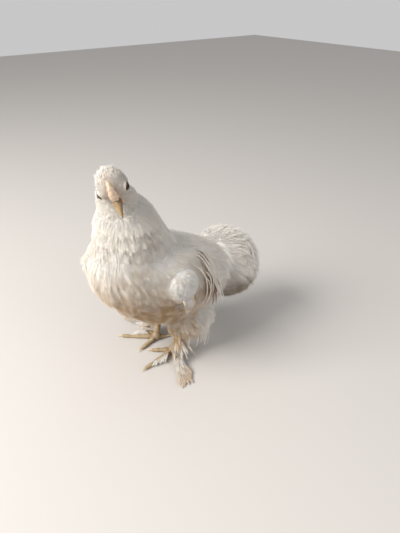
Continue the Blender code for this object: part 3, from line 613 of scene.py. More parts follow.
# For head, neck, trunk, thighs, tail and wings: feather length, width, lift in degrees and curl.
PLUMAGE = np.array((
    (0.0068, 0.0025, 13.0, 0.09),
    (0.0170, 0.0056, 7.5, 0.08),
    (0.0235, 0.0084, 6.5, 0.08),
    (0.0210, 0.0066, 15.0, 0.12),
    (0.0300, 0.0080, 6.5, 0.15),
    (0.0190, 0.0060, 5.5, 0.07),
))
sizes = spread_out(shares @ PLUMAGE, skin_ends, (0.5,) * 30)
face = smooth(in_head[:, 1], 0.004, -0.014) * w_head
near_eye = smooth(eye_gap, 0.0090, 0.0050)
sizes[:, 0] *= (1.0 - 0.42 * face) * (1.0 - 0.35 * near_eye)
sizes[:, 1] *= (1.0 - 0.35 * face) * (1.0 - 0.25 * near_eye)
hackle = smooth(height, 0.225, 0.190) * smooth(height, 0.160, 0.178)
hackle *= smooth(skin_points[:, 1], -0.045, -0.015)
sizes[:, 0] *= 1.0 + 0.55 * hackle
sizes[:, 0] *= 1.0 - 0.42 * on_puff
sizes[:, 1] *= 1.0 - 0.42 * on_puff
sizes[:, 2] += 2.0 * on_puff
nape = smooth(w_head, 0.05, 0.30) * smooth(w_head, 0.98, 0.75)
nape *= smooth(skin_points[:, 1], -0.088, -0.072)
sizes[:, 0] *= 1.0 - 0.25 * nape
sizes[:, 2] *= 1.0 - 0.50 * nape
sizes[:, 3] += 0.08 * nape
skin_places = KDTree(len(skin_points))
for index, point in enumerate(skin_points):
    skin_places.insert(point, index)
skin_places.balance()
behind = [skin_places.find(place)[1] for place in skin_points - lie * sizes[:, :1] * 0.6]
agree = (lie[behind] * lie).sum(axis=1)
parting = spread_out(smooth(agree, 0.90, 0.60)[:, None], skin_ends, (0.5,) * 6)[:, 0]
bare = smooth(eye_gap, 0.0045, 0.0039)
beak_gap = np.linalg.norm(in_head - np.array((0.0, -0.0185, -0.0030)), axis=1)
bare = np.maximum(bare, smooth(beak_gap, 0.0062, 0.0050))


def paint(mesh, name, kind, values):
    """Stores one value, or one vector, for each point."""
    layer = mesh.attributes.new(name, kind, "POINT")
    label = "vector" if kind == "FLOAT_VECTOR" else "value"
    layer.data.foreach_set(label, values.astype(np.float32).ravel())


def round_off(mesh, crease=50.0):
    """Turns the faces outward and smooths them, except across edges sharper than the crease."""
    net = bmesh.new()
    net.from_mesh(mesh)
    bmesh.ops.recalc_face_normals(net, faces=net.faces)
    for face in net.faces:
        face.smooth = True
    for edge in net.edges:
        if edge.calc_face_angle(0.0) > math.radians(crease):
            edge.smooth = False
    net.to_mesh(mesh)
    net.free()


paint(skin_mesh, "lie", "FLOAT_VECTOR", lie)
paint(skin_mesh, "out", "FLOAT_VECTOR", skin_normals)
for column, name in enumerate(("length", "width", "lift", "curl")):
    values = sizes[:, column]
    paint(skin_mesh, name, "FLOAT", np.radians(values) if name == "lift" else values)
covered = 1.0 - bare
areas = {
    "head": w_head > 0.5,
    "neck": (w_head <= 0.70) & (w_head + w_neck > 0.5),
    "tail": w_tail > 0.5,
    "thighs": w_thigh > 0.5,
    "puff": on_puff > 0.5,
}
trunk = ~(areas["head"] | areas["neck"] | areas["tail"] | areas["thighs"] | areas["puff"])
areas["breast"] = trunk & (skin_points[:, 1] < -0.040)
areas["flanks"] = trunk & (skin_points[:, 1] >= -0.040)
areas["crown"] = areas["head"] & (in_head[:, 2] > 0.0110) & (in_head[:, 1] > -0.006)
areas["down"] = w_head > 0.12
areas["parting"] = (parting > 0.20) & (w_head <= 0.30)
for name, mask in areas.items():
    paint(skin_mesh, "area_" + name, "FLOAT", mask * covered)
print("combed:", {name: int(mask.sum()) for name, mask in areas.items()})


# %% [markdown]
# ## The pattern of a small feather
#
# A body feather is a short cupped blade with a rounded, fringed end. The pattern is a closed
# blade of three-sided sections, one unit long and one wide, with fine barbs standing off its edge
# and tip. Tufts and wisps have no blade: they are sprays of barbs, thick for the down and fine for
# the coat's loose ends. Every point knows how far along and across the feather it is. Four
# patterns of each kind, all ragged in their own way, keep neighbours from looking alike.

# %% Feather patterns
STATIONS = ((0.12, 0.26), (0.28, 0.46), (0.44, 0.40))


def closed_pattern(name, points, faces, notes):
    """A pattern as an object, with its along and across values."""
    mesh = bpy.data.meshes.new(name)
    mesh.from_pydata(points, [], faces)
    round_off(mesh)
    paint(mesh, "along", "FLOAT", np.array([a for a, _ in notes]))
    paint(mesh, "across", "FLOAT", np.array([b for _, b in notes]))
    return bpy.data.objects.new(name, mesh)


def lock(points, faces, notes, root, tip, half, share):
    """One lock of barbs: a slender three-sided blade from root to tip."""
    start = len(points)
    points += [root + Vector((half, 0.0, -0.004)), root + Vector((-half, 0.0, -0.004)),
               root + Vector((0.0, 0.04, 0.018)), tip]
    faces += [(start, start + 1, start + 3), (start + 1, start + 2, start + 3),
              (start + 2, start, start + 3), (start, start + 2, start + 1)]
    notes += [(root.y, share)] * 3 + [(1.0, share)]


def small_feather(name, seed, locks):
    """A body feather, one unit long and one wide, along +Y with its outer face up."""
    draw = random.Random(seed)
    points, faces, notes = [Vector((0.0, 0.0, 0.0))], [], [(0.0, 0.0)]
    for t, wide in STATIONS:
        wide *= draw.uniform(0.9, 1.1)
        points += [Vector((-0.5 * wide, t, -0.06 * wide)), Vector((0.0, t, 0.006)),
                   Vector((0.5 * wide, t, -0.06 * wide))]
        notes += [(t, -wide), (t, 0.0), (t, wide)]
    points.append(Vector((draw.uniform(-0.06, 0.06), 0.64, -0.02)))
    notes.append((0.64, 0.0))
    last = len(points) - 1
    faces += [(0, 2, 1), (0, 3, 2), (0, 1, 3)]
    for k in range(len(STATIONS) - 1):
        a, b = 1 + 3 * k, 4 + 3 * k
        faces += [(a, a + 1, b + 1), (a, b + 1, b), (a + 1, a + 2, b + 2), (a + 1, b + 2, b + 1),
                  (a + 2, a, b), (a + 2, b, b + 2)]
    a = last - 3
    faces += [(a, a + 1, last), (a + 1, a + 2, last), (a + 2, a, last)]
    for k in range(locks):
        s = mix(-1.0, 1.0, (k + 0.5) / locks) + draw.uniform(-0.05, 0.05)
        root = Vector((0.28 * s, mix(0.46, 0.20, abs(s)) + draw.uniform(-0.06, 0.06),
                       -0.05 * abs(s) + draw.uniform(-0.004, 0.016)))
        tip = Vector((s * draw.uniform(0.42, 0.58), 1.0 - 0.26 * s * s + draw.uniform(-0.10, 0.05),
                      draw.uniform(-0.05, 0.005) - 0.03 * abs(s)))
        lock(points, faces, notes, root, tip, draw.uniform(0.060, 0.085), s)
    return closed_pattern(name, points, faces, notes)


def wisp(name, seed, locks, thin):
    """A spray of fine barbs with no blade, as small face feathers and the coat's loose ends are."""
    draw = random.Random(seed)
    points, faces, notes = [], [], []
    for k in range(locks):
        s = mix(-1.0, 1.0, (k + 0.5) / locks) + draw.uniform(-0.10, 0.10)
        root = Vector((0.16 * s, draw.uniform(0.0, 0.30), draw.uniform(-0.01, 0.02)))
        tip = Vector((s * draw.uniform(0.34, 0.60), 1.0 - 0.20 * s * s + draw.uniform(-0.22, 0.06),
                      draw.uniform(-0.06, 0.03)))
        lock(points, faces, notes, root, tip, thin * draw.uniform(0.8, 1.25), s)
    return closed_pattern(name, points, faces, notes)


def pattern_set(name, made):
    """A collection of patterns, kept out of the scene."""
    held = bpy.data.collections.new(name)
    for pattern in made:
        held.objects.link(pattern)
    print(name, "have", [len(pattern.data.polygons) for pattern in made], "triangles")
    return held


feathers = pattern_set("feathers", [small_feather(f"feather_{k}", 11 + k, 13) for k in range(4)])
tufts = pattern_set("tufts", [wisp(f"tuft_{k}", 31 + k, 9, 0.085) for k in range(4)])
wisps = pattern_set("wisps", [wisp(f"wisp_{k}", 51 + k, 9, 0.030) for k in range(4)])


# %% [markdown]
# ## Growing the coat
#
# A Geometry Nodes tree sets points evenly on a region of the skin, turns a feather at each so
# that it follows the lie, tilts it up by its lift, and varies size, tilt and direction a little.
# The feathers are realized, curled back toward the body, and given their map: a small patch of the
# skin's layout at the place of the root.


# %% Coat tree
MAP_PATCH = (0.0015, 0.003, 0.0)    # half the width and the whole length of a feather's map


def geometry_tree():
    """The tree that grows one region of the coat."""
    tree = bpy.data.node_groups.new("coat", "GeometryNodeTree")
    tree.interface.new_socket("Geometry", in_out="INPUT", socket_type="NodeSocketGeometry")
    for label, kind, value in (("Area", "NodeSocketString", ""), ("Spacing", FLOAT, 0.003),
                               ("Seed", "NodeSocketInt", 1), ("Patterns", "NodeSocketCollection", None),
                               ("Finish", "NodeSocketMaterial", None), ("Yaw", FLOAT, 0.16),
                               ("Size", FLOAT, 1.0), ("Lift", FLOAT, 0.0)):
        socket = tree.interface.new_socket(label, in_out="INPUT", socket_type=kind)
        if value is not None:
            socket.default_value = value
    tree.interface.new_socket("Geometry", in_out="OUTPUT", socket_type="NodeSocketGeometry")
    enter, leave = tree.nodes.new("NodeGroupInput"), tree.nodes.new("NodeGroupOutput")
    given = enter.outputs

    def read(name, kind="FLOAT"):
        """A value kept for each point."""
        made = node(tree, "GeometryNodeInputNamedAttribute", {"data_type": kind}, Name=name)
        return made.outputs["Attribute"]

    def chance(low, high, shift):
        """A value of each point's own between low and high; shift keeps it apart from the others."""
        made = node(tree, "FunctionNodeRandomValue", {"data_type": "FLOAT"})
        made.inputs[2].default_value, made.inputs[3].default_value = low, high
        tree.links.new(maths(tree, "ADD", given["Seed"], shift), made.inputs["Seed"])
        return made.outputs[1]

    def store(geometry, name, kind, domain, value):
        """Keeps a value on the geometry."""
        made = node(tree, "GeometryNodeStoreNamedAttribute", {"data_type": kind, "domain": domain},
                    Geometry=geometry, Name=name)
        tree.links.new(value, made.inputs["Value"])
        return made.outputs[0]

    spread = node(tree, "GeometryNodeDistributePointsOnFaces", {"distribute_method": "POISSON"},
                  Mesh=given["Geometry"], Distance_Min=given["Spacing"], Density_Max=2.0e6,
                  Density_Factor=read(given["Area"]), Seed=given["Seed"])
    points = spread.outputs["Points"]
    points = store(points, "root_uv", "FLOAT_VECTOR", "POINT", read("OFBake", "FLOAT_VECTOR"))
    points = store(points, "tone", "FLOAT", "POINT", chance(0.0, 1.0, 3))
    long = times(tree, times(tree, read("length"), chance(0.80, 1.18, 4)), given["Size"])
    wide = times(tree, times(tree, read("width"), chance(0.85, 1.15, 5)), given["Size"])
    points = store(points, "bend", "FLOAT", "POINT", times(tree, long, read("curl")))
    turned = node(tree, "FunctionNodeAxesToRotation", {"primary_axis": "Z", "secondary_axis": "Y"},
                  i0=read("out", "FLOAT_VECTOR"), i1=read("lie", "FLOAT_VECTOR")).outputs[0]
    lifted = maths(tree, "ADD", read("lift"), given["Lift"])
    lifted = times(tree, lifted, chance(0.8, 1.2, 6))
    yaw = times(tree, given["Yaw"], chance(-1.0, 1.0, 7))
    angles = node(tree, "ShaderNodeCombineXYZ", X=lifted, Y=chance(-0.12, 0.12, 8), Z=yaw)
    tilt = node(tree, "FunctionNodeEulerToRotation", i0=angles.outputs[0])
    turned = node(tree, "FunctionNodeRotateRotation", {"rotation_space": "LOCAL"}, i0=turned,
                  i1=tilt.outputs[0]).outputs[0]
    size = node(tree, "ShaderNodeCombineXYZ", X=wide, Y=long, Z=wide)
    shapes = node(tree, "GeometryNodeCollectionInfo", Collection=given["Patterns"], Separate_Children=True,
                  Reset_Children=True)
    choice = node(tree, "FunctionNodeRandomValue", {"data_type": "INT"})
    choice.inputs[4].default_value, choice.inputs[5].default_value = 0, 3
    tree.links.new(given["Seed"], choice.inputs["Seed"])
    grown = node(tree, "GeometryNodeInstanceOnPoints", Points=points, Instance=shapes.outputs[0],
                 Pick_Instance=True, Instance_Index=choice.outputs[2], Rotation=turned,
                 Scale=size.outputs[0])
    real = node(tree, "GeometryNodeRealizeInstances", Geometry=grown.outputs[0]).outputs[0]
    far = read("along")
    curl = times(tree, times(tree, times(tree, far, far), read("bend")), -1.0)
    drop = vector_maths(tree, "SCALE", read("out", "FLOAT_VECTOR"))
    tree.links.new(curl, drop.inputs["Scale"])
    real = node(tree, "GeometryNodeSetPosition", Geometry=real, Offset=drop.outputs[0]).outputs[0]
    patch = node(tree, "ShaderNodeCombineXYZ", X=read("across"), Y=far)
    patch = vector_maths(tree, "MULTIPLY", patch.outputs[0], MAP_PATCH)
    patch = vector_maths(tree, "ADD", patch.outputs[0], read("root_uv", "FLOAT_VECTOR"))
    real = store(real, "OFBake", "FLOAT2", "CORNER", patch.outputs[0])
    real = node(tree, "GeometryNodeSetMaterial", Geometry=real, Material=given["Finish"]).outputs[0]
    tree.links.new(real, leave.inputs[0])
    return tree


coat_tree = geometry_tree()


# %% Grow the regions
COMBED_ATTRIBUTES = ["lie", "length", "width", "lift", "curl", "bend", "root_uv"]
COMBED_ATTRIBUTES += ["area_" + name for name in areas]


def grow(name, area, spacing, seed, shapes=feathers, yaw=0.16, size=1.0, lift=0.0):
    """Runs the coat tree on one region of the skin, and keeps what it makes as a piece.

    Yaw, in radians, is how far the feathers may turn from the lie; lift, in degrees, is added to
    the groom's own.
    """
    worker = bpy.data.objects.new(name, skin_mesh)
    scene.collection.objects.link(worker)
    run = worker.modifiers.new("coat", "NODES")
    run.node_group = coat_tree
    values = {"Area": "area_" + area, "Spacing": spacing, "Seed": seed, "Patterns": shapes,
              "Finish": coat_finish, "Yaw": yaw, "Size": size, "Lift": math.radians(lift)}
    for item in coat_tree.interface.items_tree:
        if item.in_out == "INPUT" and item.name in values:
            run[item.identifier] = values[item.name]
    mesh = evaluated_mesh(worker)
    worker.modifiers.clear()
    worker.data = mesh
    for name_held in COMBED_ATTRIBUTES:
        if name_held in mesh.attributes:
            mesh.attributes.remove(mesh.attributes[name_held])
    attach(worker, "root")
    print(f"{name}: {len(mesh.polygons)} triangles, maps {[u.name for u in mesh.uv_layers]}")


grow("coat_head", "head", 0.00115, 21, yaw=0.22, shapes=tufts)
grow("down_head", "down", 0.0013, 29, yaw=math.pi, size=0.80, shapes=tufts, lift=-7.0)
grow("down_body", "parting", 0.0019, 30, yaw=math.pi, size=0.45, shapes=tufts)
grow("coat_crown", "crown", 0.0025, 27, yaw=0.60, size=1.15, shapes=tufts, lift=25.0)
grow("coat_neck", "neck", 0.0022, 22)
grow("coat_breast", "breast", 0.0029, 23)
grow("coat_flanks", "flanks", 0.0032, 24)
grow("coat_puff", "puff", 0.0011, 28, yaw=0.45, size=0.85, shapes=tufts, lift=3.0)
grow("wisps_puff", "puff", 0.0016, 38, yaw=0.50, size=0.95, shapes=wisps, lift=7.0)
grow("coat_thighs", "thighs", 0.0028, 25)
grow("coat_tail", "tail", 0.0034, 26)
for area, spacing, seed in (("neck", 0.0019, 32), ("breast", 0.0021, 33), ("flanks", 0.0023, 34),
                            ("thighs", 0.0022, 35)):
    grow("wisps_" + area, area, spacing, seed, yaw=0.25, shapes=wisps, lift=3.5)
grow("wisps_tail", "tail", 0.0026, 36, yaw=0.22, size=0.92, shapes=wisps, lift=3.5)


# %% [markdown]
# ## Long feathers, one by one
#
# Wing, tail and foot feathers are few and large, so each is built along its own path: a closed
# cupped blade with a raised quill, an uneven edge with a split or two where barbs have parted, and
# fine loose barbs along the edge. A bundle gathers the feathers of one piece and makes its mesh.

# %% Feather bundle
TOP = (-1.0, -0.55, -0.09, 0.0, 0.09, 0.55, 1.0)
UNDER = (0.55, 0.0, -0.55)


class Bundle:
    """Collects the feathers of one piece."""

    def __init__(self, seed):
        """An empty bundle, with random draws of its own."""
        self.draw = random.Random(seed)
        self.points, self.faces, self.notes, self.lies, self.outs, self.tones = [], [], [], [], [], []
        self.cells, self.count = [], 0

    def feather(self, path, outs, widths, cup=0.16, thick=0.0003, quill=0.0005, ragged=0.06, splits=2,
                fringe=24, barb_length=0.0035, roll=0.0):
        """One feather through path, outs being the directions out of its face."""
        draw, last, start = self.draw, len(path) - 1, len(self.points)
        notch = [set(draw.sample(range(last // 3, last - 1), splits)) for _ in range(2)]
        tone = draw.random()
        across_all, up_all, along_all = [], [], []
        for k, (point, out, width) in enumerate(zip(path, outs, widths)):
            along = (path[min(k + 1, last)] - path[max(k - 1, 0)]).normalized()
            across = Matrix.Rotation(roll, 3, along) @ along.cross(out).normalized()
            up = across.cross(along)
            across_all.append(across)
            up_all.append(up)
            along_all.append(along)
            t = k / last
            for row, under in ((TOP, False), (UNDER, True)):
                for s in row:
                    side = 0 if s < 0 else 1
                    reach = width / 2
                    if abs(s) == 1.0:
                        reach *= 1.0 + draw.uniform(-ragged, ragged)
                        if k in notch[side]:
                            reach *= 0.52
                    rise = -cup * reach * s * s
                    if not under and abs(s) < 0.1:
                        rise += quill * (1.0 - 0.85 * t) * (1.0 if s == 0.0 else 0.45)
                    if under:
                        rise -= thick
                    self.points.append(point + across * reach * s + up * rise)
                    self.notes.append((t, s))
                    self.lies.append(along)
                    self.outs.append(up)
        ring = len(TOP) + len(UNDER)
        for k in range(last):
            a, b = start + k * ring, start + (k + 1) * ring
            for m in range(ring):
                n = (m + 1) % ring
                self.faces.append((a + m, a + n, b + n, b + m))
        self.faces.append(tuple(start + m for m in reversed(range(ring))))
        self.faces.append(tuple(start + last * ring + m for m in range(ring)))
        for k in range(fringe):
            side = -1 if k % 2 else 1
            t = mix(0.30, 0.985, (k + draw.random()) / fringe)
            m = min(int(t * last), last - 1)
            local = t * last - m
            point = path[m].lerp(path[m + 1], local)
            reach = mix(widths[m], widths[m + 1], local) / 2
            across, up, along = across_all[m] * side, up_all[m], along_all[m]
            spot = draw.uniform(0.55, 0.9) if t < 0.93 else draw.uniform(0.1, 0.8)
            root = point + across * reach * spot - up * cup * reach * spot * spot
            way = (along + across * draw.uniform(0.15, 0.55) + up * draw.uniform(-0.08, 0.05)).normalized()
            self.barb(root, way, across, up, barb_length * draw.uniform(0.6, 1.3), t, spot * side)
        self.tones += [tone] * (len(self.points) - start)
        self.cells += [self.count] * (len(self.points) - start)
        self.count += 1

    def barb(self, root, way, across, up, length, t, s):
        """One loose barb at the edge."""
        start = len(self.points)
        half = across * 0.00016
        self.points += [root + half, root - half, root + up * 0.00016, root + way * length]
        self.faces += [(start, start + 1, start + 3), (start + 1, start + 2, start + 3),
                       (start + 2, start, start + 3), (start, start + 2, start + 1)]
        self.notes += [(t, s)] * 3 + [(min(1.0, t + 0.05), s)]
        self.lies += [way] * 4
        self.outs += [up] * 4

    def piece(self, name, finish, slot, *stands_for):
        """The bundle as one piece, with every feather on a strip of its own in the map."""
        mesh = bpy.data.meshes.new(name)
        mesh.from_pydata(self.points, [], self.faces)
        round_off(mesh)
        notes = np.array(self.notes)
        paint(mesh, "along", "FLOAT", notes[:, 0])
        paint(mesh, "across", "FLOAT", notes[:, 1])
        paint(mesh, "tone", "FLOAT", np.array(self.tones))
        paint(mesh, "out", "FLOAT_VECTOR", np.array(self.outs))
        columns = math.ceil(math.sqrt(self.count * 4.0))
        rows = math.ceil(self.count / columns)
        cells = np.array(self.cells)
        u = (cells % columns + 0.5 + 0.42 * notes[:, 1]) / columns
        v = (cells // columns + 0.03 + 0.94 * notes[:, 0]) / rows
        corners = np.empty(len(mesh.loops), np.int32)
        mesh.loops.foreach_get("vertex_index", corners)
        layout = mesh.uv_layers.new(name="OFBake")
        places = np.stack((u[corners], v[corners]), axis=1)
        layout.data.foreach_set("uv", places.astype(np.float32).ravel())
        mesh.materials.append(finish)
        made = bpy.data.objects.new(name, mesh)
        scene.collection.objects.link(made)
        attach(made, "root")
        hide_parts(*stands_for)
        triangles = sum(len(face.vertices) - 2 for face in mesh.polygons)
        print(f"{name}: {self.count} feathers, {triangles} triangles")


def blade_width(t, width, tip_from=0.66, narrow=0.30):
    """A feather's width at share t of its length: narrow quill, full blade, rounded end."""
    swell = min(1.0, narrow + 2.2 * t)
    end = math.sqrt(max(0.0, 1.0 - max(0.0, (t - tip_from) / (1.005 - tip_from)) ** 2.2))
    return width * swell * max(end, 0.05)


def pointed_widths(width, power, steps):
    """Widths of a feather that narrows all the way to a point."""
    return [width * (1.0 - (j / steps) ** power * 0.94) for j in range(steps + 1)]


# %% [markdown]
# ## The tail
#
# The tail is a ball of soft feathers that arch over from the rump. They are laid in tiers, the
# lowest first: each feather leaves the rump's end, comes up to the ball's surface and follows it
# down, and each tier ends a little higher and further out than the one it covers.

# %% Tail feathers
TAIL_STATIONS = 15
TAIL_TIERS = (
    # count, spread each way, root and reach from the pole, depth under the surface, width
    (21, 112.0, 70.0, 152.0, 0.0086, 0.0130),
    (24, 118.0, 58.0, 140.0, 0.0078, 0.0125),
    (27, 124.0, 46.0, 126.0, 0.0070, 0.0120),
    (28, 128.0, 34.0, 112.0, 0.0063, 0.0115),
    (27, 132.0, 22.0, 97.0, 0.0057, 0.0110),
    (23, 140.0, 12.0, 80.0, 0.0051, 0.0105),
    (18, 165.0, 4.0, 60.0, 0.0045, 0.0100),
    (12, 175.0, 0.0, 40.0, 0.0040, 0.0090),
)
SICKLES = ((80.0, 6.0, 122.0), (64.0, 14.0, 132.0))    # from the axis, begin and end round it
tail_finish = plumage("tail_feathers", 60.0, 0.14)
# The sickles' outer edges are painted brown as the shadow under each edge.
sickle_finish = plumage("tail_sickles", 60.0, 0.10, edge_rust_and_shade=0.22, edge_rust_and_shade_colour=(0.36, 0.28, 0.22, 1.0))


def on_ball(out, radius):
    """The place on the tail's ball in one direction; the ball is a little flat."""
    return TAIL_CENTRE + Vector((out.x, out.y, out.z * TAIL_FLAT)) * radius


def tail_path(turn, root, reach, deep, sway):
    """Points and outward directions of one tail feather."""
    sideways = Vector((1.0, 0.0, 0.0))
    backward = TAIL_POLE.cross(sideways)
    path, outs = [], []
    for k in range(TAIL_STATIONS + 1):
        t = k / TAIL_STATIONS
        angle = math.radians(mix(root, reach, t))
        around = turn + sway * t * t
        heading = backward * math.cos(around) + sideways * math.sin(around)
        out = TAIL_POLE * math.cos(angle) + heading * math.sin(angle)
        rise = 1.0 - 0.34 * (1.0 - min(1.0, t * 2.4)) ** 2
        radius = (TAIL_RADIUS - deep) * rise
        path.append(on_ball(out, radius))
        outs.append(out)
    return path, outs


tail = Bundle(41)
draw = tail.draw
for count, spread, root, reach, deep, width in TAIL_TIERS:
    for k in range(count):
        turn = math.radians(mix(-spread, spread, (k + 0.5) / count) + draw.uniform(-3.0, 3.0))
        path, outs = tail_path(turn, root, reach + draw.uniform(-5.0, 5.0),
                               deep + draw.uniform(0.0, 0.0008), draw.uniform(-0.10, 0.10))
        full = width * draw.uniform(0.88, 1.12)
        widths = [blade_width(j / TAIL_STATIONS, full, 0.55) for j in range(TAIL_STATIONS + 1)]
        tail.feather(path, outs, widths, cup=0.05, fringe=60, barb_length=0.0070, ragged=0.05, splits=0,
                     roll=-math.radians(2.0) * math.copysign(1.0, turn))
tail.piece("tail_feathers", tail_finish, "flight", "tail")

# A few long curved feathers lie on each side of the ball, from its top round behind and down.
sickles = Bundle(45)
for side in LEFT_AND_RIGHT:
    axis = Vector((0.675 * side, -0.528, 0.515)).normalized()
    aside = Vector((0.616 * side, 0.788, 0.0)).normalized()
    upward = (Vector((0.0, 0.0, 1.0)) - axis * axis.z).normalized()
    for from_axis, begin, end in SICKLES:
        path, outs = [], []
        for k in range(TAIL_STATIONS + 1):
            t = k / TAIL_STATIONS
            a = math.radians(from_axis - 5.0 * math.sin(math.pi * t))
            b = math.radians(mix(begin, end, t))
            out = axis * math.cos(a) + (upward * math.cos(b) + aside * math.sin(b)) * math.sin(a)
            path.append(on_ball(out, TAIL_RADIUS - 0.0002 - 0.004 * (1.0 - t) ** 3 - 0.002 * t ** 3))
            outs.append(out)
        widths = [blade_width(j / TAIL_STATIONS, 0.0070 * sickles.draw.uniform(0.9, 1.1), 0.40)
                  for j in range(TAIL_STATIONS + 1)]
        sickles.feather(path, outs, widths, cup=0.05, fringe=50, barb_length=0.0060, ragged=0.05, splits=1)
sickles.piece("tail_sickles", sickle_finish, "flight", "tail")


# %% [markdown]
# ## The wings
#
# Each wing droops over the flank, its feathers laid close on the skin. Its front and top are covered
# by the coat. Behind, five broad flight feathers lie under a bundle of narrow pale ones, and four of
# those hook forward at their ends. The flight feathers' rust edges and dark brown tips are partly
# their own colour and partly painted shade in the gaps between the pale ones, whose edges are
# painted the same way. Below the wing's front hangs a white puff of down, which ends in a lock.

# %% Wing feathers
# Places off her left flank that a feather at each edge of the wing passes, before the stance
# is added.
WING_LINES = {
    "rear": ((0.0245, 0.0329, 0.1636), (0.0401, 0.0314, 0.1584), (0.0528, 0.0320, 0.1488),
             (0.0618, 0.0341, 0.1356), (0.0655, 0.0394, 0.1155), (0.0630, 0.0480, 0.0860)),
    "front": ((0.0382, 0.0135, 0.1663), (0.0500, 0.0132, 0.1596), (0.0589, 0.0151, 0.1495),
              (0.0663, 0.0182, 0.1355), (0.0683, 0.0261, 0.1137), (0.0640, 0.0370, 0.0880)),
    "hook": ((0.0472, 0.0183, 0.1592), (0.0572, 0.0209, 0.1493), (0.0645, 0.0227, 0.1371),
             (0.0680, 0.0246, 0.1213), (0.0679, 0.0218, 0.1066), (0.0675, 0.0146, 0.0963)),
    "small hook": ((0.0527, 0.0082, 0.1585), (0.0608, 0.0106, 0.1494), (0.0670, 0.0132, 0.1364),
                   (0.0695, 0.0158, 0.1213), (0.0693, 0.0130, 0.1096), (0.0686, 0.0076, 0.1000)),
}
WING_TIERS = (
    # from which line to which; for each feather its share of the way between them, and where
    # along the line it starts and ends; then its width and its height over the skin
    ("rear", "small hook", ((0.08, 0.06, 0.80), (0.25, 0.14, 0.86), (0.40, 0.02, 1.02), (0.52, 0.12, 1.04),
                            (0.68, 0.22, 0.86)), 0.0070, 0.0032),
    ("rear", "front", ((0.00, 0.02, 0.97), (0.12, 0.16, 1.00), (0.24, 0.00, 0.90), (0.33, 0.26, 1.02),
                       (0.46, 0.08, 0.95), (0.58, 0.32, 0.99), (0.72, 0.14, 0.88)), 0.0030, 0.0052),
    ("hook", "small hook", ((0.0, 0.05, 1.0), (0.30, 0.22, 0.97), (0.65, 0.34, 0.92), (1.0, 0.10, 1.0)),
     0.0026, 0.0066),
)
PUFF_LOCKS = 13
WING_STEPS, LOCK_STEPS = 22, 14
# Rust edges and dark brown tips: partly the feathers' own colour, partly painted shade in the gaps under
# the pale strands.
flight_finish = plumage("flight_feathers", 70.0, 0.35, edge_rust_and_shade=0.70, tip=0.85,
                        tip_colour=(0.13, 0.055, 0.028, 1.0))
strand_finish = plumage("pale_flight_feathers", 70.0, 0.22, edge_rust_and_shade=0.50)


def flank_path(knots, ends, rise, side, steps, free=0.55, leaves=0.32):
    """A smooth line past places on a flank, out of the coat to a height over it, until it hangs free."""
    even = np.linspace(0.0, 1.0, len(knots))
    fits = [np.polyfit(even, column, min(3, len(knots) - 1)) for column in np.array(knots).T]
    path, outs = [], []
    for k in range(steps + 1):
        t = k / steps
        x, y, z = (float(np.polyval(fit, mix(*ends, t))) for fit in fits)
        place = Vector((x * side, y, z)) + STANCE
        near, index, _ = skin_places.find(place)
        out = Vector(skin_normals[index])
        over = mix(-0.0008, rise, float(smooth(t, 0.0, leaves)))
        miss = over - (place - near).dot(out)
        path.append(place + out * miss * (1.0 if miss > 0 else float(smooth(t, free + 0.30, free))))
        outs.append(out)
    return path, outs


for letter, side in SIDES:
    for tier, (near_line, far_line, places, full, rise) in enumerate(WING_TIERS):
        if tier < 2:
            wing = Bundle(51 + 10 * tier + side)
        draw = wing.draw
        for f, start, end in places:
            knots = mix(np.array(WING_LINES[near_line]), np.array(WING_LINES[far_line]), f)
            knots[1:, 1] += draw.uniform(-0.0010, 0.0010)
            knots[-2:, 1] += draw.uniform(-0.0022, 0.0022)
            above = rise + draw.uniform(0.0, 0.0010)
            path, outs = flank_path(knots, (start, end), above, side, WING_STEPS)
            broad = full * draw.uniform(0.75, 1.25)
            widths = [blade_width(j / WING_STEPS, broad, 0.45) for j in range(WING_STEPS + 1)]
            wing.feather(path, outs, widths, cup=0.18, splits=3, fringe=30, roll=-math.radians(9.0) * side)
        if tier == 0:
            wing.piece("wing_feathers_" + letter, flight_finish, "flight", "wing_" + letter)
    wing.piece("wing_strands_" + letter, strand_finish, "flight", "wing_" + letter)
    locks = Bundle(91 + side)
    draw = locks.draw
    for k in range(PUFF_LOCKS):
        f = (k + 0.5) / PUFF_LOCKS
        root = (0.0745, mix(-0.0250, -0.0070, f), 0.1180 + 0.0040 * abs(2.0 * f - 1.0))
        tip = (0.0700, mix(-0.0175, -0.0105, f), mix(0.1085, 0.0990, 1.0 - abs(2.0 * f - 1.0)))
        middle = (0.0755, mix(root[1], tip[1], 0.40), mix(root[2], tip[2], 0.5))
        path, outs = flank_path((root, middle, tip), (0.0, 1.0), draw.uniform(0.0026, 0.0034), side,
                                LOCK_STEPS, 0.10, 0.15)
        widths = pointed_widths(draw.uniform(0.0020, 0.0034), 1.5, LOCK_STEPS)
        locks.feather(path, outs, widths, cup=0.25, splits=1, fringe=40, barb_length=0.0055)
    locks.piece("puff_locks_" + letter, coat_finish, "plumage")


# %% [markdown]
# ## The thighs' hanging feathers
#
# Long soft feathers hang from the thighs over the hocks, fine and long behind, broader and shorter
# in front. They end in points, each a little lower or higher than its neighbour.

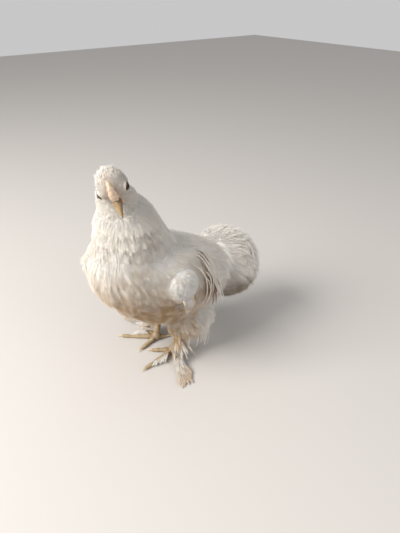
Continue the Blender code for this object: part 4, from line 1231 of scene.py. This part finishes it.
# %% Hock feathers
HOCK_BEHIND, HOCK_IN_FRONT, HOCK_STEPS = 22, 18, 10    # feathers behind, in front, and steps of each
hock_finish = plumage("hock_feathers", 40.0, 0.15)
for letter, side in SIDES:
    hocks = Bundle(81 + side)
    draw = hocks.draw
    centre = mirrored(THIGH_CENTRE, side) + STANCE
    for k in range(HOCK_IN_FRONT + HOCK_BEHIND):
        behind = k >= HOCK_IN_FRONT
        if behind:
            a = mix(8.0, 105.0, (k - HOCK_IN_FRONT + draw.random()) / HOCK_BEHIND)
        else:
            a = mix(-75.0, 15.0, (k + draw.random()) / HOCK_IN_FRONT)
        a = math.radians(a)
        out = Vector((math.cos(a) * side, math.sin(a), 0.0))
        root = centre + Vector((out.x * 0.0200, out.y * 0.0290, draw.uniform(-0.016, -0.004)))
        length = draw.uniform(0.026, 0.038) if behind else draw.uniform(0.016, 0.026)
        if not behind and k % 6 == 3:
            length *= 1.4
        flare = 0.0062 if behind else 0.0010
        path, outs = [], []
        for j in range(HOCK_STEPS + 1):
            t = j / HOCK_STEPS
            path.append(root + out * (flare * t - 0.0060 * t * t) - Vector((0.0, 0.0, length * t)))
            outs.append((out + Vector((0.0, 0.0, 0.25))).normalized())
        full = draw.uniform(0.0022, 0.0042) if behind else draw.uniform(0.0034, 0.0054)
        widths = pointed_widths(full, 1.3, HOCK_STEPS)
        hocks.feather(path, outs, widths, cup=0.25, fringe=30, barb_length=0.0060, splits=2)
    hocks.piece("hock_feathers_" + letter, hock_finish, "plumage", "thigh_" + letter)


# %% [markdown]
# ## Feathered feet
#
# Her breed is feather-legged. Narrow feathers leave the outer side of each shank, and a fan of
# broad ones covers the outer toe, streaky cream with tan ends, with narrower ones over its root. A
# few short ones lie beside the middle toe.

# %% Foot feathers
# Where each foot stands, and the direction and length of its toes.
FEET = {
    "L": (Vector((0.0200, -0.0040)), {"inner": (-40.0, 0.0280), "middle": (8.0, 0.0480),
                                      "outer": (71.0, 0.0340), "hind": (186.0, 0.0140)}),
    "R": (Vector((0.0170, -0.0060)), {"inner": (-14.0, 0.0290), "middle": (42.0, 0.0480),
                                      "outer": (88.0, 0.0340), "hind": (206.0, 0.0140)}),
}
HOCK_HEIGHT = 0.0440
BALL_RADIUS = 0.0062
FOOT_STEPS = 12
foot_finish = plumage("foot_feathers", 34.0, 0.35, streaks=0.75)
fan_finish = plumage("toe_fan", 34.0, 0.25, tip=0.85, streaks=0.80)


def outward(degrees, side):
    """A direction on the ground, measured outward from straight ahead."""
    a = math.radians(degrees)
    return Vector((math.sin(a) * side, -math.cos(a), 0.0))


def leg_places(letter, side):
    """Where a foot stands, its hock, the ball of the foot, and its toes."""
    stand, toes = FEET[letter]
    foot = Vector((stand.x * side, stand.y, 0.0)) + STANCE
    hock = foot + Vector((0.003 * side, 0.010, HOCK_HEIGHT))
    ball = foot + Vector((0.0, 0.0, BALL_RADIUS * 0.80))
    return foot, hock, ball, toes


def foot_feather(bundle, root, out, length, tip_height, arch, width, tip_from, roll=0.0, narrow=0.30,
                 **blade):
    """A foot feather leaves its root, arches over and comes down to its tip."""
    path = []
    for k in range(FOOT_STEPS + 1):
        t = k / FOOT_STEPS
        rise = arch * math.sin(math.pi * t) - (root.z - tip_height) * t * t
        path.append(root + out * length * t + Vector((0.0, 0.0, rise)))
    outs = [Vector((0.0, 0.0, 1.0))] * (FOOT_STEPS + 1)
    widths = [blade_width(j / FOOT_STEPS, bundle.draw.uniform(*width), tip_from, narrow)
              for j in range(FOOT_STEPS + 1)]
    if roll:
        blade["roll"] = math.radians(bundle.draw.uniform(-roll, roll))
    bundle.feather(path, outs, widths, **blade)


for letter, side in SIDES:
    foot, hock, ball, toes = leg_places(letter, side)
    fan = Bundle(61 + side)
    draw = fan.draw
    degrees, length = toes["outer"]
    # The broad fan over the outer toe, its feathers crossing.
    for k in range(15):
        f = k / 14
        aim = degrees + mix(-13.0, 15.0, (k * 4 % 15) / 14)
        out = outward(aim + draw.uniform(-2.0, 2.0), side)
        root = foot + outward(degrees - 1.0, side) * length * mix(0.92, 0.40, f)
        root.z = 0.0034 + 0.0030 * f
        foot_feather(fan, root, out, mix(0.041, 0.035, f) * draw.uniform(0.92, 1.03),
                     0.0012 + 0.0022 * f, 0.0014, (0.0052, 0.0066), 0.70, 8.0, 0.45,
                     cup=0.22, fringe=30, barb_length=0.0034, splits=2, ragged=0.10)
    fan.piece("toe_fan_" + letter, fan_finish, "plumage")
    fan = Bundle(71 + side)
    draw = fan.draw
    # Narrower feathers over the root of the fan.
    for k in range(22):
        f = k / 21
        out = outward(degrees + mix(-13.0, 15.0, draw.random()), side)
        root = foot + outward(degrees - 1.0, side) * length * mix(0.40, 0.02, f)
        root.z = 0.0075 + 0.0085 * f
        foot_feather(fan, root, out, mix(0.034, 0.030, f) * draw.uniform(0.82, 1.05),
                     0.0046 + 0.0030 * f, 0.0016, (0.0030, 0.0042), 0.55, 12.0,
                     cup=0.30, fringe=26, barb_length=0.0042, splits=2)
    # Short ones beside the middle toe.
    degrees, length = toes["middle"]
    for k in range(8):
        f = k / 7
        out = outward(degrees + mix(8.0, 36.0, f), side)
        root = foot + outward(degrees, side) * length * mix(0.58, 0.18, f)
        root.z = 0.0040 + 0.0020 * f
        foot_feather(fan, root, out, mix(0.014, 0.021, f) * draw.uniform(0.8, 1.05),
                     0.0024 + 0.002 * f, 0.0012, (0.0018, 0.0028), 0.50,
                     cup=0.30, fringe=18, barb_length=0.0030, splits=1)
    # Single ones off the shank, between hock and foot.
    for k in range(20):
        out = outward(mix(48.0, 118.0, draw.random()), side)
        root = hock.lerp(ball, mix(0.40, 0.85, draw.random()))
        foot_feather(fan, root, out, mix(0.018, 0.034, draw.random()), draw.uniform(0.006, 0.022),
                     0.0022, (0.0018, 0.0034), 0.40, 20.0,
                     cup=0.30, fringe=22, barb_length=0.0038, splits=1)
    fan.piece("foot_feathers_" + letter, foot_finish, "plumage")


# %% [markdown]
# ## Bare parts
#
# Eyes, comb, beak, wattles, legs and claws are smooth lofts: rings of points joined along a path.
# Each keeps how far along and around it a point lies, which its finish uses, and each loft of a
# piece gets a strip of its own in the map.

# %% Lofts
def loft(rings, first=None, last=None, gaps=None):
    """A closed form through rings, its ends drawn to a point or closed flat: points, faces, notes."""
    count, size = len(rings), len(rings[0])
    points = [p for ring in rings for p in ring]
    notes = [(k / (count - 1), m / size, gaps[k] if gaps else 0.0)
             for k in range(count) for m in range(size)]
    faces = []
    for k in range(count - 1):
        for m in range(size):
            n = (m + 1) % size
            faces.append((k * size + m, k * size + n, (k + 1) * size + n, (k + 1) * size + m))
    for end, row, share in ((first, 0, 0.0), (last, count - 1, 1.0)):
        base = [row * size + m for m in range(size)]
        if end is None:
            faces.append(tuple(base if row else base[::-1]))
            continue
        points.append(end)
        notes.append((share, 0.5, 0.0))
        for m in range(size):
            a, b = base[m], base[(m + 1) % size]
            faces.append((a, b, len(points) - 1) if row else (b, a, len(points) - 1))
    return points, faces, notes


def bare_piece(name, lofts, finish, slot, *stands_for, crease=40.0, turn=None):
    """Joins lofts into one piece, with along, around and gap as attributes and each loft on a strip of its
    own in the map.
    """
    points, faces, notes, strips = [], [], [], []
    for index, (some, its_faces, its_notes) in enumerate(lofts):
        shift = len(points)
        points += [turn @ p for p in some] if turn else some
        faces += [tuple(v + shift for v in face) for face in its_faces]
        notes += its_notes
        strips += [index] * len(some)
    mesh = bpy.data.meshes.new(name)
    mesh.from_pydata(points, [], faces)
    layout = mesh.uv_layers.new(name="OFBake")
    for polygon in mesh.polygons:
        rounds = [notes[v][1] for v in polygon.vertices]
        wraps = max(rounds) - min(rounds) > 0.6
        for corner, v in zip(polygon.loop_indices, polygon.vertices):
            along, around, _ = notes[v]
            around += 1.0 if wraps and around < 0.4 else 0.0
            strip = (strips[v] + 0.04 + 0.88 * around) / len(lofts)
            layout.data[corner].uv = (strip, 0.03 + 0.94 * along)
    round_off(mesh, crease)
    for column, label in enumerate(("along", "around", "gap")):
        paint(mesh, label, "FLOAT", np.array(notes)[:, column])
    mesh.materials.append(finish)
    made = bpy.data.objects.new(name, mesh)
    scene.collection.objects.link(made)
    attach(made, "root")
    if stands_for:
        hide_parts(*stands_for)
    print(f"{name}: {len(mesh.polygons)} faces")


# %% [markdown]
# ## Finishes of the bare parts
#
# The eye is dark brown with a black pupil under a clear glossy cornea. Lids, comb and wattles are
# thin skin over blood: peach pink, pebbled. Beak and claws are horn, with growth lines along
# them; the beak's left side is darker, partly brown of its own and partly painted shade, and its
# slits are darkened as painted shade. Shanks and toes are pale yellow, browner between the scutes,
# and darker under the toes, partly dirt and partly painted shade.

# %% Bare finishes
FULL_TURN = 6.283
eye_finish, tree, shader = material("eye", Roughness=0.15, Coat_Weight=0.35, Coat_Roughness=0.02,
                                    IOR=1.34)
ring = stored(tree)
spokes = node(tree, "ShaderNodeCombineXYZ", X=times(tree, stored(tree, "around"), 40.0),
              Y=times(tree, ring, 3.0))
spokes = noise(tree, spokes.outputs[0], 1.0, 2.0)
iris = blend(tree, spokes, (0.020, 0.010, 0.006, 1.0), (0.070, 0.030, 0.012, 1.0))
eye_colour = blend(tree, ramp(tree, ring, 0.22, 0.26), (0.004, 0.003, 0.003, 1.0), iris)
eye_colour = blend(tree, ramp(tree, ring, 0.46, 0.52), eye_colour, (0.012, 0.008, 0.006, 1.0))
tree.links.new(eye_colour, shader.inputs["Base Color"])


def bare_skin(name, pale, deep, pebble, rim=0.0):
    """Bare skin: two tones in soft patches, pebbled, with a dark rim where asked."""
    made, tree, shader = material(name, Roughness=0.48, Specular_IOR_Level=0.35, Subsurface_Weight=0.18,
                                  Subsurface_Scale=0.002, Subsurface_Radius=(1.0, 0.35, 0.2))
    where = in_place(tree)
    patch = noise(tree, where, 260.0, 3.0)
    colour = blend(tree, ramp(tree, patch, 0.30, 0.70), pale, deep)
    if rim:
        edge = times(tree, ramp(tree, stored(tree, "around"), 0.34, 0.22), rim)
        colour = blend(tree, edge, colour, (0.13, 0.085, 0.06, 1.0))
    tree.links.new(colour, shader.inputs["Base Color"])
    cells = node(tree, "ShaderNodeTexVoronoi", Vector=where, Scale=pebble).outputs["Distance"]
    relief(tree, shader, cells, 0.45)
    return made


comb_finish = bare_skin("comb_skin", (0.60, 0.475, 0.355, 1.0), (0.51, 0.37, 0.26, 1.0), 1500.0)
lid_finish = bare_skin("lid_skin", (0.55, 0.48, 0.41, 1.0), (0.42, 0.35, 0.29, 1.0), 1900.0, 0.85)
wattle_finish = bare_skin("wattle_skin", (0.60, 0.43, 0.31, 1.0), (0.46, 0.30, 0.20, 1.0), 1500.0)


def horn_finish(name, pale, deep, tip_tone, shaded=0.0):
    """Horn: growth lines along it, a deeper tone at the root and a tone of its own at the tip.

    Where asked, her left side is darker, partly a brown of its own and partly painted shade, and the slits
    are darkened as painted shade.
    """
    made, tree, shader = material(name, Roughness=0.36, Specular_IOR_Level=0.5, Subsurface_Weight=0.08,
                                  Subsurface_Scale=0.001)
    along, around = stored(tree), stored(tree, "around")
    lines = node(tree, "ShaderNodeCombineXYZ", X=times(tree, along, 2.0),
                 Y=times(tree, around, 70.0))
    lines = noise(tree, lines.outputs[0], 1.0, 3.0)
    broad = noise(tree, in_place(tree), 160.0, 2.0)
    mottle = maths(tree, "MULTIPLY_ADD", lines, 0.35, times(tree, broad, 0.65))
    colour = blend(tree, times(tree, ramp(tree, mottle, 0.42, 0.64), 0.75), pale, deep)
    colour = blend(tree, times(tree, ramp(tree, along, 0.35, 0.0), 0.55), colour, deep)
    colour = blend(tree, times(tree, ramp(tree, along, 0.62, 1.0), 0.75), colour, tip_tone)
    if shaded:
        # Her left side is darkened: partly a brown of the horn's own, partly painted shade.
        shaded_side = ramp(tree, maths(tree, "COSINE", times(tree, around, FULL_TURN)), 0.15, 0.80)
        colour = blend(tree, times(tree, shaded_side, shaded), colour, (0.17, 0.09, 0.045, 1.0))
        # The nostrils and the mouth line are darkened as painted shade.
        slit_shade = times(tree, stored(tree, "gap"), 0.9)
        colour = blend(tree, slit_shade, colour, (0.09, 0.05, 0.03, 1.0))
    tree.links.new(colour, shader.inputs["Base Color"])
    relief(tree, shader, lines, 0.18)
    return made


beak_finish = horn_finish("beak_horn", (0.345, 0.25, 0.12, 1.0), (0.17, 0.10, 0.045, 1.0),
                          (0.32, 0.235, 0.125, 1.0), 0.80)
claw_finish = horn_finish("claw_horn", (0.56, 0.45, 0.29, 1.0), (0.40, 0.29, 0.17, 1.0),
                          (0.62, 0.54, 0.41, 1.0))

leg_finish, tree, shader = material("leg_scutes", Roughness=0.50, Specular_IOR_Level=0.4,
                                    Subsurface_Weight=0.10, Subsurface_Scale=0.001)
where = in_place(tree)
around = stored(tree, "around")
under = ramp(tree, maths(tree, "SINE", times(tree, around, FULL_TURN)), 0.10, -0.55)
patch = noise(tree, where, 190.0, 4.0)
gap = stored(tree, "gap")
colour = blend(tree, ramp(tree, patch, 0.35, 0.70), (0.405, 0.33, 0.20, 1.0), (0.29, 0.21, 0.11, 1.0))
colour = blend(tree, times(tree, gap, 0.65), colour, (0.33, 0.21, 0.12, 1.0))
# Darker under the toes: partly dirt, partly painted shade.
colour = blend(tree, times(tree, under, 0.70), colour, (0.30, 0.20, 0.13, 1.0))
tree.links.new(colour, shader.inputs["Base Color"])
grains = node(tree, "ShaderNodeTexVoronoi", Vector=where, Scale=1300.0).outputs["Distance"]
relief(tree, shader, grains, 0.35)


# %% [markdown]
# ## Eyes and lids
#
# Each eye sits deep in its socket, with a clear bulge over the iris. The lids are one ring of bare
# skin whose opening is an almond, longer along the head than it is high, so that from the front
# the eye is only a dark slit.

# %% Eyes
LID_LONG, LID_HIGH = math.radians(58.0), math.radians(38.0)
EYE_DEEPER, EYE_BULGE = 0.0005, 0.00045
LID_RINGS = (
    # share of the way from the opening to the lids' outer edge, and height over the eyeball
    (0.0, 0.00004), (0.0, 0.00030), (0.05, 0.00055), (0.12, 0.00060), (0.28, 0.00045),
    (0.50, 0.00050), (0.75, 0.00020), (1.0, -0.00020), (1.0, -0.00120), (0.3, -0.00050),
)


def eye_axes(side):
    """The way an eye looks, the way along the head, and up, all in the head's frame."""
    look = mirrored(EYE_LOOK, side)
    forward = Vector((0.0, -1.0, -0.12))
    ahead = (forward - look * look.dot(forward)).normalized()
    return look, ahead, look.cross(ahead) * side


for letter, side in SIDES:
    look, ahead, up = eye_axes(side)
    centre = mirrored(EYE_PLACE, side) - look * EYE_DEEPER
    rings = []
    for k in range(1, 28):
        angle = math.pi * k / 28
        bulge = EYE_BULGE * math.exp(-(angle / 0.62) ** 4)
        rings.append([centre + look * (math.cos(angle) * EYE_RADIUS + bulge)
                      + (ahead * math.cos(a) + up * math.sin(a)) * math.sin(angle) * EYE_RADIUS
                      for a in turns(36)])
    ball = loft(rings, centre + look * (EYE_RADIUS + EYE_BULGE), centre - look * EYE_RADIUS)
    bare_piece("eyeball_" + letter, [ball], eye_finish, "eye", "eye_" + letter, turn=HEAD_FRAME)
    rings = []
    for a in turns(48):
        almond = abs(math.cos(a)) ** 1.5
        droop = 1.0 if math.sin(a) < 0 else 0.90
        opening = mix(LID_HIGH, LID_LONG, almond) * droop
        out = ahead * math.cos(a) + up * math.sin(a)
        ring = []
        for u, lift in LID_RINGS:
            angle = mix(opening, math.radians(86.0), u)
            fold = 0.00012 * math.sin(u * 22.0 + 1.5 * math.sin(3 * a)) if 0.05 < u < 0.9 else 0.0
            way = look * math.cos(angle) + out * math.sin(angle)
            ring.append(centre + way * (EYE_RADIUS + lift + fold))
        rings.append(ring)
    points, faces, notes = loft(rings + rings[:1])
    bare_piece("lids_" + letter, [(points, faces[:-2], notes)], lid_finish, "flesh", turn=HEAD_FRAME)


# %% [markdown]
# ## Comb, beak and wattles
#
# A pullet's comb is a low soft ridge. It widens to the beak, with five blunt points that are
# hardly more than bumps. The beak is short and curved, its upper half arched over the lower, with
# a nostril slit on each side; the wattles are two small folds at the jaw.

# %% Comb
COMB_BASE = ((-0.0205, 0.0015), (0.0010, 0.0175))
COMB_BULGE = 0.0042
COMB_HEIGHT = 0.0038
COMB_ROOT = 0.0030
COMB_TEETH = 5.0
rings = []
for k in range(61):
    t = k / 60
    arch = COMB_BULGE * math.sin(math.pi * t)
    base = Vector((0.0, mix(COMB_BASE[0][0], COMB_BASE[1][0], t) - arch * 0.6,
                   mix(COMB_BASE[0][1], COMB_BASE[1][1], t) + arch * 0.8))
    out = Vector((0.0, -0.55 + 0.25 * t, 0.83)).normalized()
    tooth = abs(math.sin(math.pi * COMB_TEETH * t)) ** 0.8
    tall = COMB_HEIGHT * mix(0.80, 0.95, tooth)
    tall *= 0.42 + 0.58 * math.sin(math.pi * min(1.0, 0.12 + 0.88 * t))
    tall *= mix(0.35, 1.0, min(1.0, t * 8.0))
    tall *= mix(1.0, 0.0, max(0.0, t * 4.0 - 3.0))
    wide = mix(0.0058, 0.0020, t ** 0.8) * mix(0.50, 1.0, min(1.0, t * 7.0))
    ring = []
    for a in turns(16):
        high = math.sin(a)
        spread = abs(math.cos(a)) ** 0.8 * math.copysign(1.0, math.cos(a))
        narrow = 1.0 - 0.55 * max(0.0, high) ** 1.5
        fold = 1.0 + 0.05 * math.sin(9.0 * t * math.pi + 3.0 * high)
        rise = (tall if high > 0 else COMB_ROOT) * high
        ring.append(base + Vector((spread * wide * narrow * fold, 0.0, 0.0)) + out * rise)
    rings.append(ring)
bare_piece("comb_skin", [loft(rings)], comb_finish, "flesh", "comb", turn=HEAD_FRAME)


# %% Beak
BEAK_ROOT_Y, BEAK_LENGTH, BEAK_HALF_WIDTH = -0.0150, 0.0205, 0.0062
BEAK_RISE, BEAK_DROOP, BEAK_BOTTOM, BEAK_MIDDLE_Z = 0.0046, 0.0062, 0.0008, -0.0030
LOWER_BEAK_SHARE, LOWER_BEAK_DEPTH = 0.78, 0.0038
NOSTRIL_PLACE, NOSTRIL_DEPTH = Vector((0.0044, -0.0205, -0.0009)), 0.0013
upper, lower, dark = [], [], []
for k in range(40):
    t = (k / 40) ** 0.85
    y = BEAK_ROOT_Y - BEAK_LENGTH * t
    closing = math.sin(math.pi / 2 * min(1.0, 0.30 + t / 0.18 * 0.70))
    wide = BEAK_HALF_WIDTH * (1.0 - t) ** 0.62 * closing
    drop = BEAK_DROOP * t ** 2.2
    rise = BEAK_RISE * (1.0 - t) ** 0.55 * closing
    ring = []
    for a in turns(28):
        across, high = math.cos(a), math.sin(a)
        keel = 1.0 - 0.16 * (1.0 - abs(across)) * (1.0 if high < 0 else -0.35)
        reach = rise if high > 0 else BEAK_BOTTOM + 0.0010 * t
        point = Vector((wide * across * (1.0 - 0.10 * max(0.0, high)), y,
                        BEAK_MIDDLE_Z - drop + reach * high * keel))
        dent = 0.0
        for side in LEFT_AND_RIGHT:
            gap = point - mirrored(NOSTRIL_PLACE, side)
            near = math.exp(-(gap.y / 0.0017) ** 2 - (gap.z / 0.0007) ** 2 - (gap.x / 0.0020) ** 2)
            point.x -= side * NOSTRIL_DEPTH * near
            dent = max(dent, near)
        ring.append(point)
        # Nostril dents and the line along the upper beak's lower edge are marked for painted shade.
        dark.append(max(dent, 0.8 * math.exp(-((high + 0.10) / 0.12) ** 2)))
    upper.append(ring)
    share = t * LOWER_BEAK_SHARE
    y = BEAK_ROOT_Y - BEAK_LENGTH * share
    edge = BEAK_MIDDLE_Z - BEAK_DROOP * share ** 2.2 - BEAK_BOTTOM * 1.2
    lower.append([Vector((wide * 0.90 * math.cos(a), y,
                          edge - LOWER_BEAK_DEPTH * (1.0 - t) ** 0.7 * (0.5 - 0.5 * math.sin(a))))
                  for a in turns(28)])
tip = Vector((0.0, BEAK_ROOT_Y - BEAK_LENGTH, BEAK_MIDDLE_Z - BEAK_DROOP - 0.0016))
low_tip = Vector((0.0, BEAK_ROOT_Y - BEAK_LENGTH * LOWER_BEAK_SHARE,
                  BEAK_MIDDLE_Z - BEAK_DROOP * LOWER_BEAK_SHARE ** 2.2 - BEAK_BOTTOM * 2.2))
points, faces, notes = loft(upper, None, tip)
notes = [(along, around, shade) for (along, around, _), shade in zip(notes, dark + [0.0])]
bare_piece("beak", [(points, faces, notes), loft(lower, None, low_tip)], beak_finish, "horn",
           "beak_upper", "beak_lower", turn=HEAD_FRAME)


# %% Wattles and ear lobes
WATTLE_PLACE, WATTLE_HALF = Vector((0.0048, -0.0150, -0.0092)), Vector((0.0013, 0.0030, 0.0046))
EAR_PLACE, EAR_HALF = Vector((0.0146, 0.0040, -0.0050)), Vector((0.0014, 0.0018, 0.0024))


def lobe(place, half, side, folds):
    """A soft hanging lobe with shallow folds."""
    rings = []
    for k in range(1, 18):
        angle = math.pi * k / 18
        down = (1.0 - math.cos(angle)) / 2
        ring = []
        for a in turns(24):
            fold = math.cos(folds * math.pi * math.sin(a)) * down * 0.0004
            ring.append(Vector(((place.x + half.x * math.sin(angle) * math.cos(a) + fold) * side,
                                place.y + half.y * math.sin(angle) * math.sin(a),
                                place.z + half.z * math.cos(angle))))
        rings.append(ring)
    return loft(rings, Vector((place.x * side, place.y, place.z + half.z)),
                Vector((place.x * side, place.y, place.z - half.z)))


for letter, side in SIDES:
    wattle = lobe(WATTLE_PLACE, WATTLE_HALF, side, 2.0)
    bare_piece("wattle_skin_" + letter, [wattle], wattle_finish, "flesh", "wattle_" + letter,
               turn=HEAD_FRAME)
    ear = lobe(EAR_PLACE, EAR_HALF, side, 1.5)
    bare_piece("ear_lobe_" + letter, [ear], lid_finish, "flesh", turn=HEAD_FRAME)


# %% [markdown]
# ## Legs, toes and claws
#
# Scutes are overlapping plates: along the front of the shank and the top of each toe the surface
# rises to each plate's free edge and drops to the next. Under the toes are rounded pads, one for
# each joint. The claws are slender, gently curved cones, hollowed a little below.

# %% Legs
SHANK_RADIUS, TOE_RADIUS = 0.0042, 0.0029
CLAW_LENGTH, CLAW_RADIUS, CLAW_CLEAR = 0.0095, 0.0015, 0.0006
PADS = {"inner": 2, "middle": 3, "outer": 4, "hind": 1}
SHANK_PLATES, PLATE_LENGTH, PLATE_STEPS = 12, 0.0023, 4


def scute(t, plates):
    """How far a plate stands out at share t: near 0 where it starts, near 1 at its free edge."""
    return (min(t, 0.9999) * plates) % 1.0


def toe_loft(foot, ahead, cross, length, kind):
    """One toe, lying on its pads."""
    plates = round(length / PLATE_LENGTH)
    steps = plates * PLATE_STEPS
    rings, gaps = [], []
    for k in range(steps + 1):
        t = k / steps
        plate = scute(t, plates)
        gaps.append(1.0 if plate < 0.1 else 0.0)
        joint = math.cos(2 * math.pi * t * PADS[kind])
        radius = TOE_RADIUS * min(0.80 + 0.9 * t, 1.06 - 0.30 * t) * (1.0 - 0.07 * joint)
        middle = foot + ahead * mix(0.003, length, t)
        top = 1.75 * radius + 0.0022 * (1.0 - t) ** 2
        ring = []
        for m in range(20):
            a = 2 * math.pi * (m + 0.5) / 20
            high = math.sin(a)
            flat = min(max(0.0, 0.5 + 0.62 * high), 1.0)
            raised = 1.0 + (0.10 * plate * max(0.0, high) ** 0.7 if high > 0 else 0.0)
            wide = 1.04 if high > 0 else 1.04 - 0.10 * (0.5 + 0.5 * joint)
            pad = 0.0006 * (0.5 + 0.5 * joint) * max(0.0, -high)
            ring.append(middle + cross * radius * wide * raised * math.cos(a)
                        + Vector((0.0, 0.0, top * flat * raised + pad)))
        rings.append(ring)
    end = foot + ahead * (length + TOE_RADIUS * 0.30) + Vector((0.0, 0.0, TOE_RADIUS * 0.55))
    return loft(rings, None, end, gaps)


def claw_loft(foot, ahead, cross, length):
    """One claw."""
    rings = []
    for k in range(16):
        t = k / 16
        radius = CLAW_RADIUS * (1.0 - t) ** 0.7
        middle = foot + ahead * (length - 0.0012 + CLAW_LENGTH * t)
        middle.z = 0.0023 + 0.0008 * math.sin(math.pi * t) - 0.0010 * t ** 2
        ring = []
        for a in turns(14):
            hollow = 1.0 - 0.35 * max(0.0, -math.sin(a)) ** 4
            ring.append(middle + cross * radius * math.cos(a)
                        + Vector((0.0, 0.0, radius * 1.1 * math.sin(a) * hollow)))
        rings.append(ring)
    tip = foot + ahead * (length - 0.0012 + CLAW_LENGTH)
    tip.z = CLAW_CLEAR
    return loft(rings, None, tip)


def shank_loft(hock, ball, front):
    """One shank, its plates down the front."""
    steps = SHANK_PLATES * PLATE_STEPS
    aside = Vector((-front.y, front.x, 0.0))
    rings, gaps = [], []
    for k in range(steps + 1):
        t = k / steps
        plate = scute(t, SHANK_PLATES)
        gaps.append(1.0 if plate < 0.1 else 0.0)
        middle = hock.lerp(ball, t)
        radius = SHANK_RADIUS * (1.12 - 0.25 * math.sin(math.pi * t))
        ring = []
        for a in turns(24):
            facing = math.sin(a)
            raised = 1.0 + 0.07 * plate * max(0.0, facing) ** 0.6 if facing > 0 else 1.0
            ring.append(middle + aside * radius * math.cos(a) * raised
                        + front * radius * 1.1 * facing * raised)
        rings.append(ring)
    return loft(rings, gaps=gaps)


def ball_loft(ball):
    """The ball of the foot, flat below."""
    rings = []
    for k in range(1, 16):
        angle = math.pi * k / 16
        rings.append([Vector((ball.x + BALL_RADIUS * math.sin(angle) * math.cos(a),
                              ball.y + BALL_RADIUS * math.sin(angle) * math.sin(a),
                              max(0.0, ball.z + BALL_RADIUS * math.cos(angle))))
                      for a in turns(24)])
    return loft(rings, ball + Vector((0.0, 0.0, BALL_RADIUS)), Vector((ball.x, ball.y, 0.0)))


for letter, side in SIDES:
    foot, hock, ball, toes = leg_places(letter, side)
    parts = [shank_loft(hock, ball, outward(toes["middle"][0], side)), ball_loft(ball)]
    claws = []
    for kind, (degrees, length) in toes.items():
        ahead = outward(degrees, side)
        cross = Vector((-ahead.y, ahead.x, 0.0))
        parts.append(toe_loft(foot, ahead, cross, length, kind))
        claws.append(claw_loft(foot, ahead, cross, length))
    names = [f"{part}_{letter}_{kind}" for part in ("toe", "claw") for kind in toes]
    bare_piece("leg_scutes_" + letter, parts, leg_finish, "leg", "shank_" + letter, *names[:4],
               crease=32.0)
    bare_piece("claws_" + letter, claws, claw_finish, "horn", *names[4:])


# %% [markdown]
# ## The skin's finish
#
# The skin takes the markings too, darkened as painted shade, so that where it shows between
# feathers it reads as the shade there. It stands for the solids of trunk, neck, head and thighs.

# %% Skin finish
shaded_skin_finish, tree, shader = material("skin", Roughness=0.8)
under = node(tree, "ShaderNodeGroup", {"node_tree": marks}).outputs["Color"]
# The markings darkened: painted shade where the skin shows between feathers.
under = node(tree, "ShaderNodeHueSaturation", Value=0.62, Saturation=1.15, Color=under)
tree.links.new(under.outputs["Color"], shader.inputs["Base Color"])
skin_mesh.materials.append(shaded_skin_finish)
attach(skin, "root")
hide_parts("torso", "neck", "head", "thigh_L", "thigh_R")


# %% Floor finish
pale, tree, shader = material("pale_floor", Roughness=0.85)
shader.inputs["Base Color"].default_value = (0.52, 0.495, 0.465, 1.0)
floor_mesh.materials.append(pale)
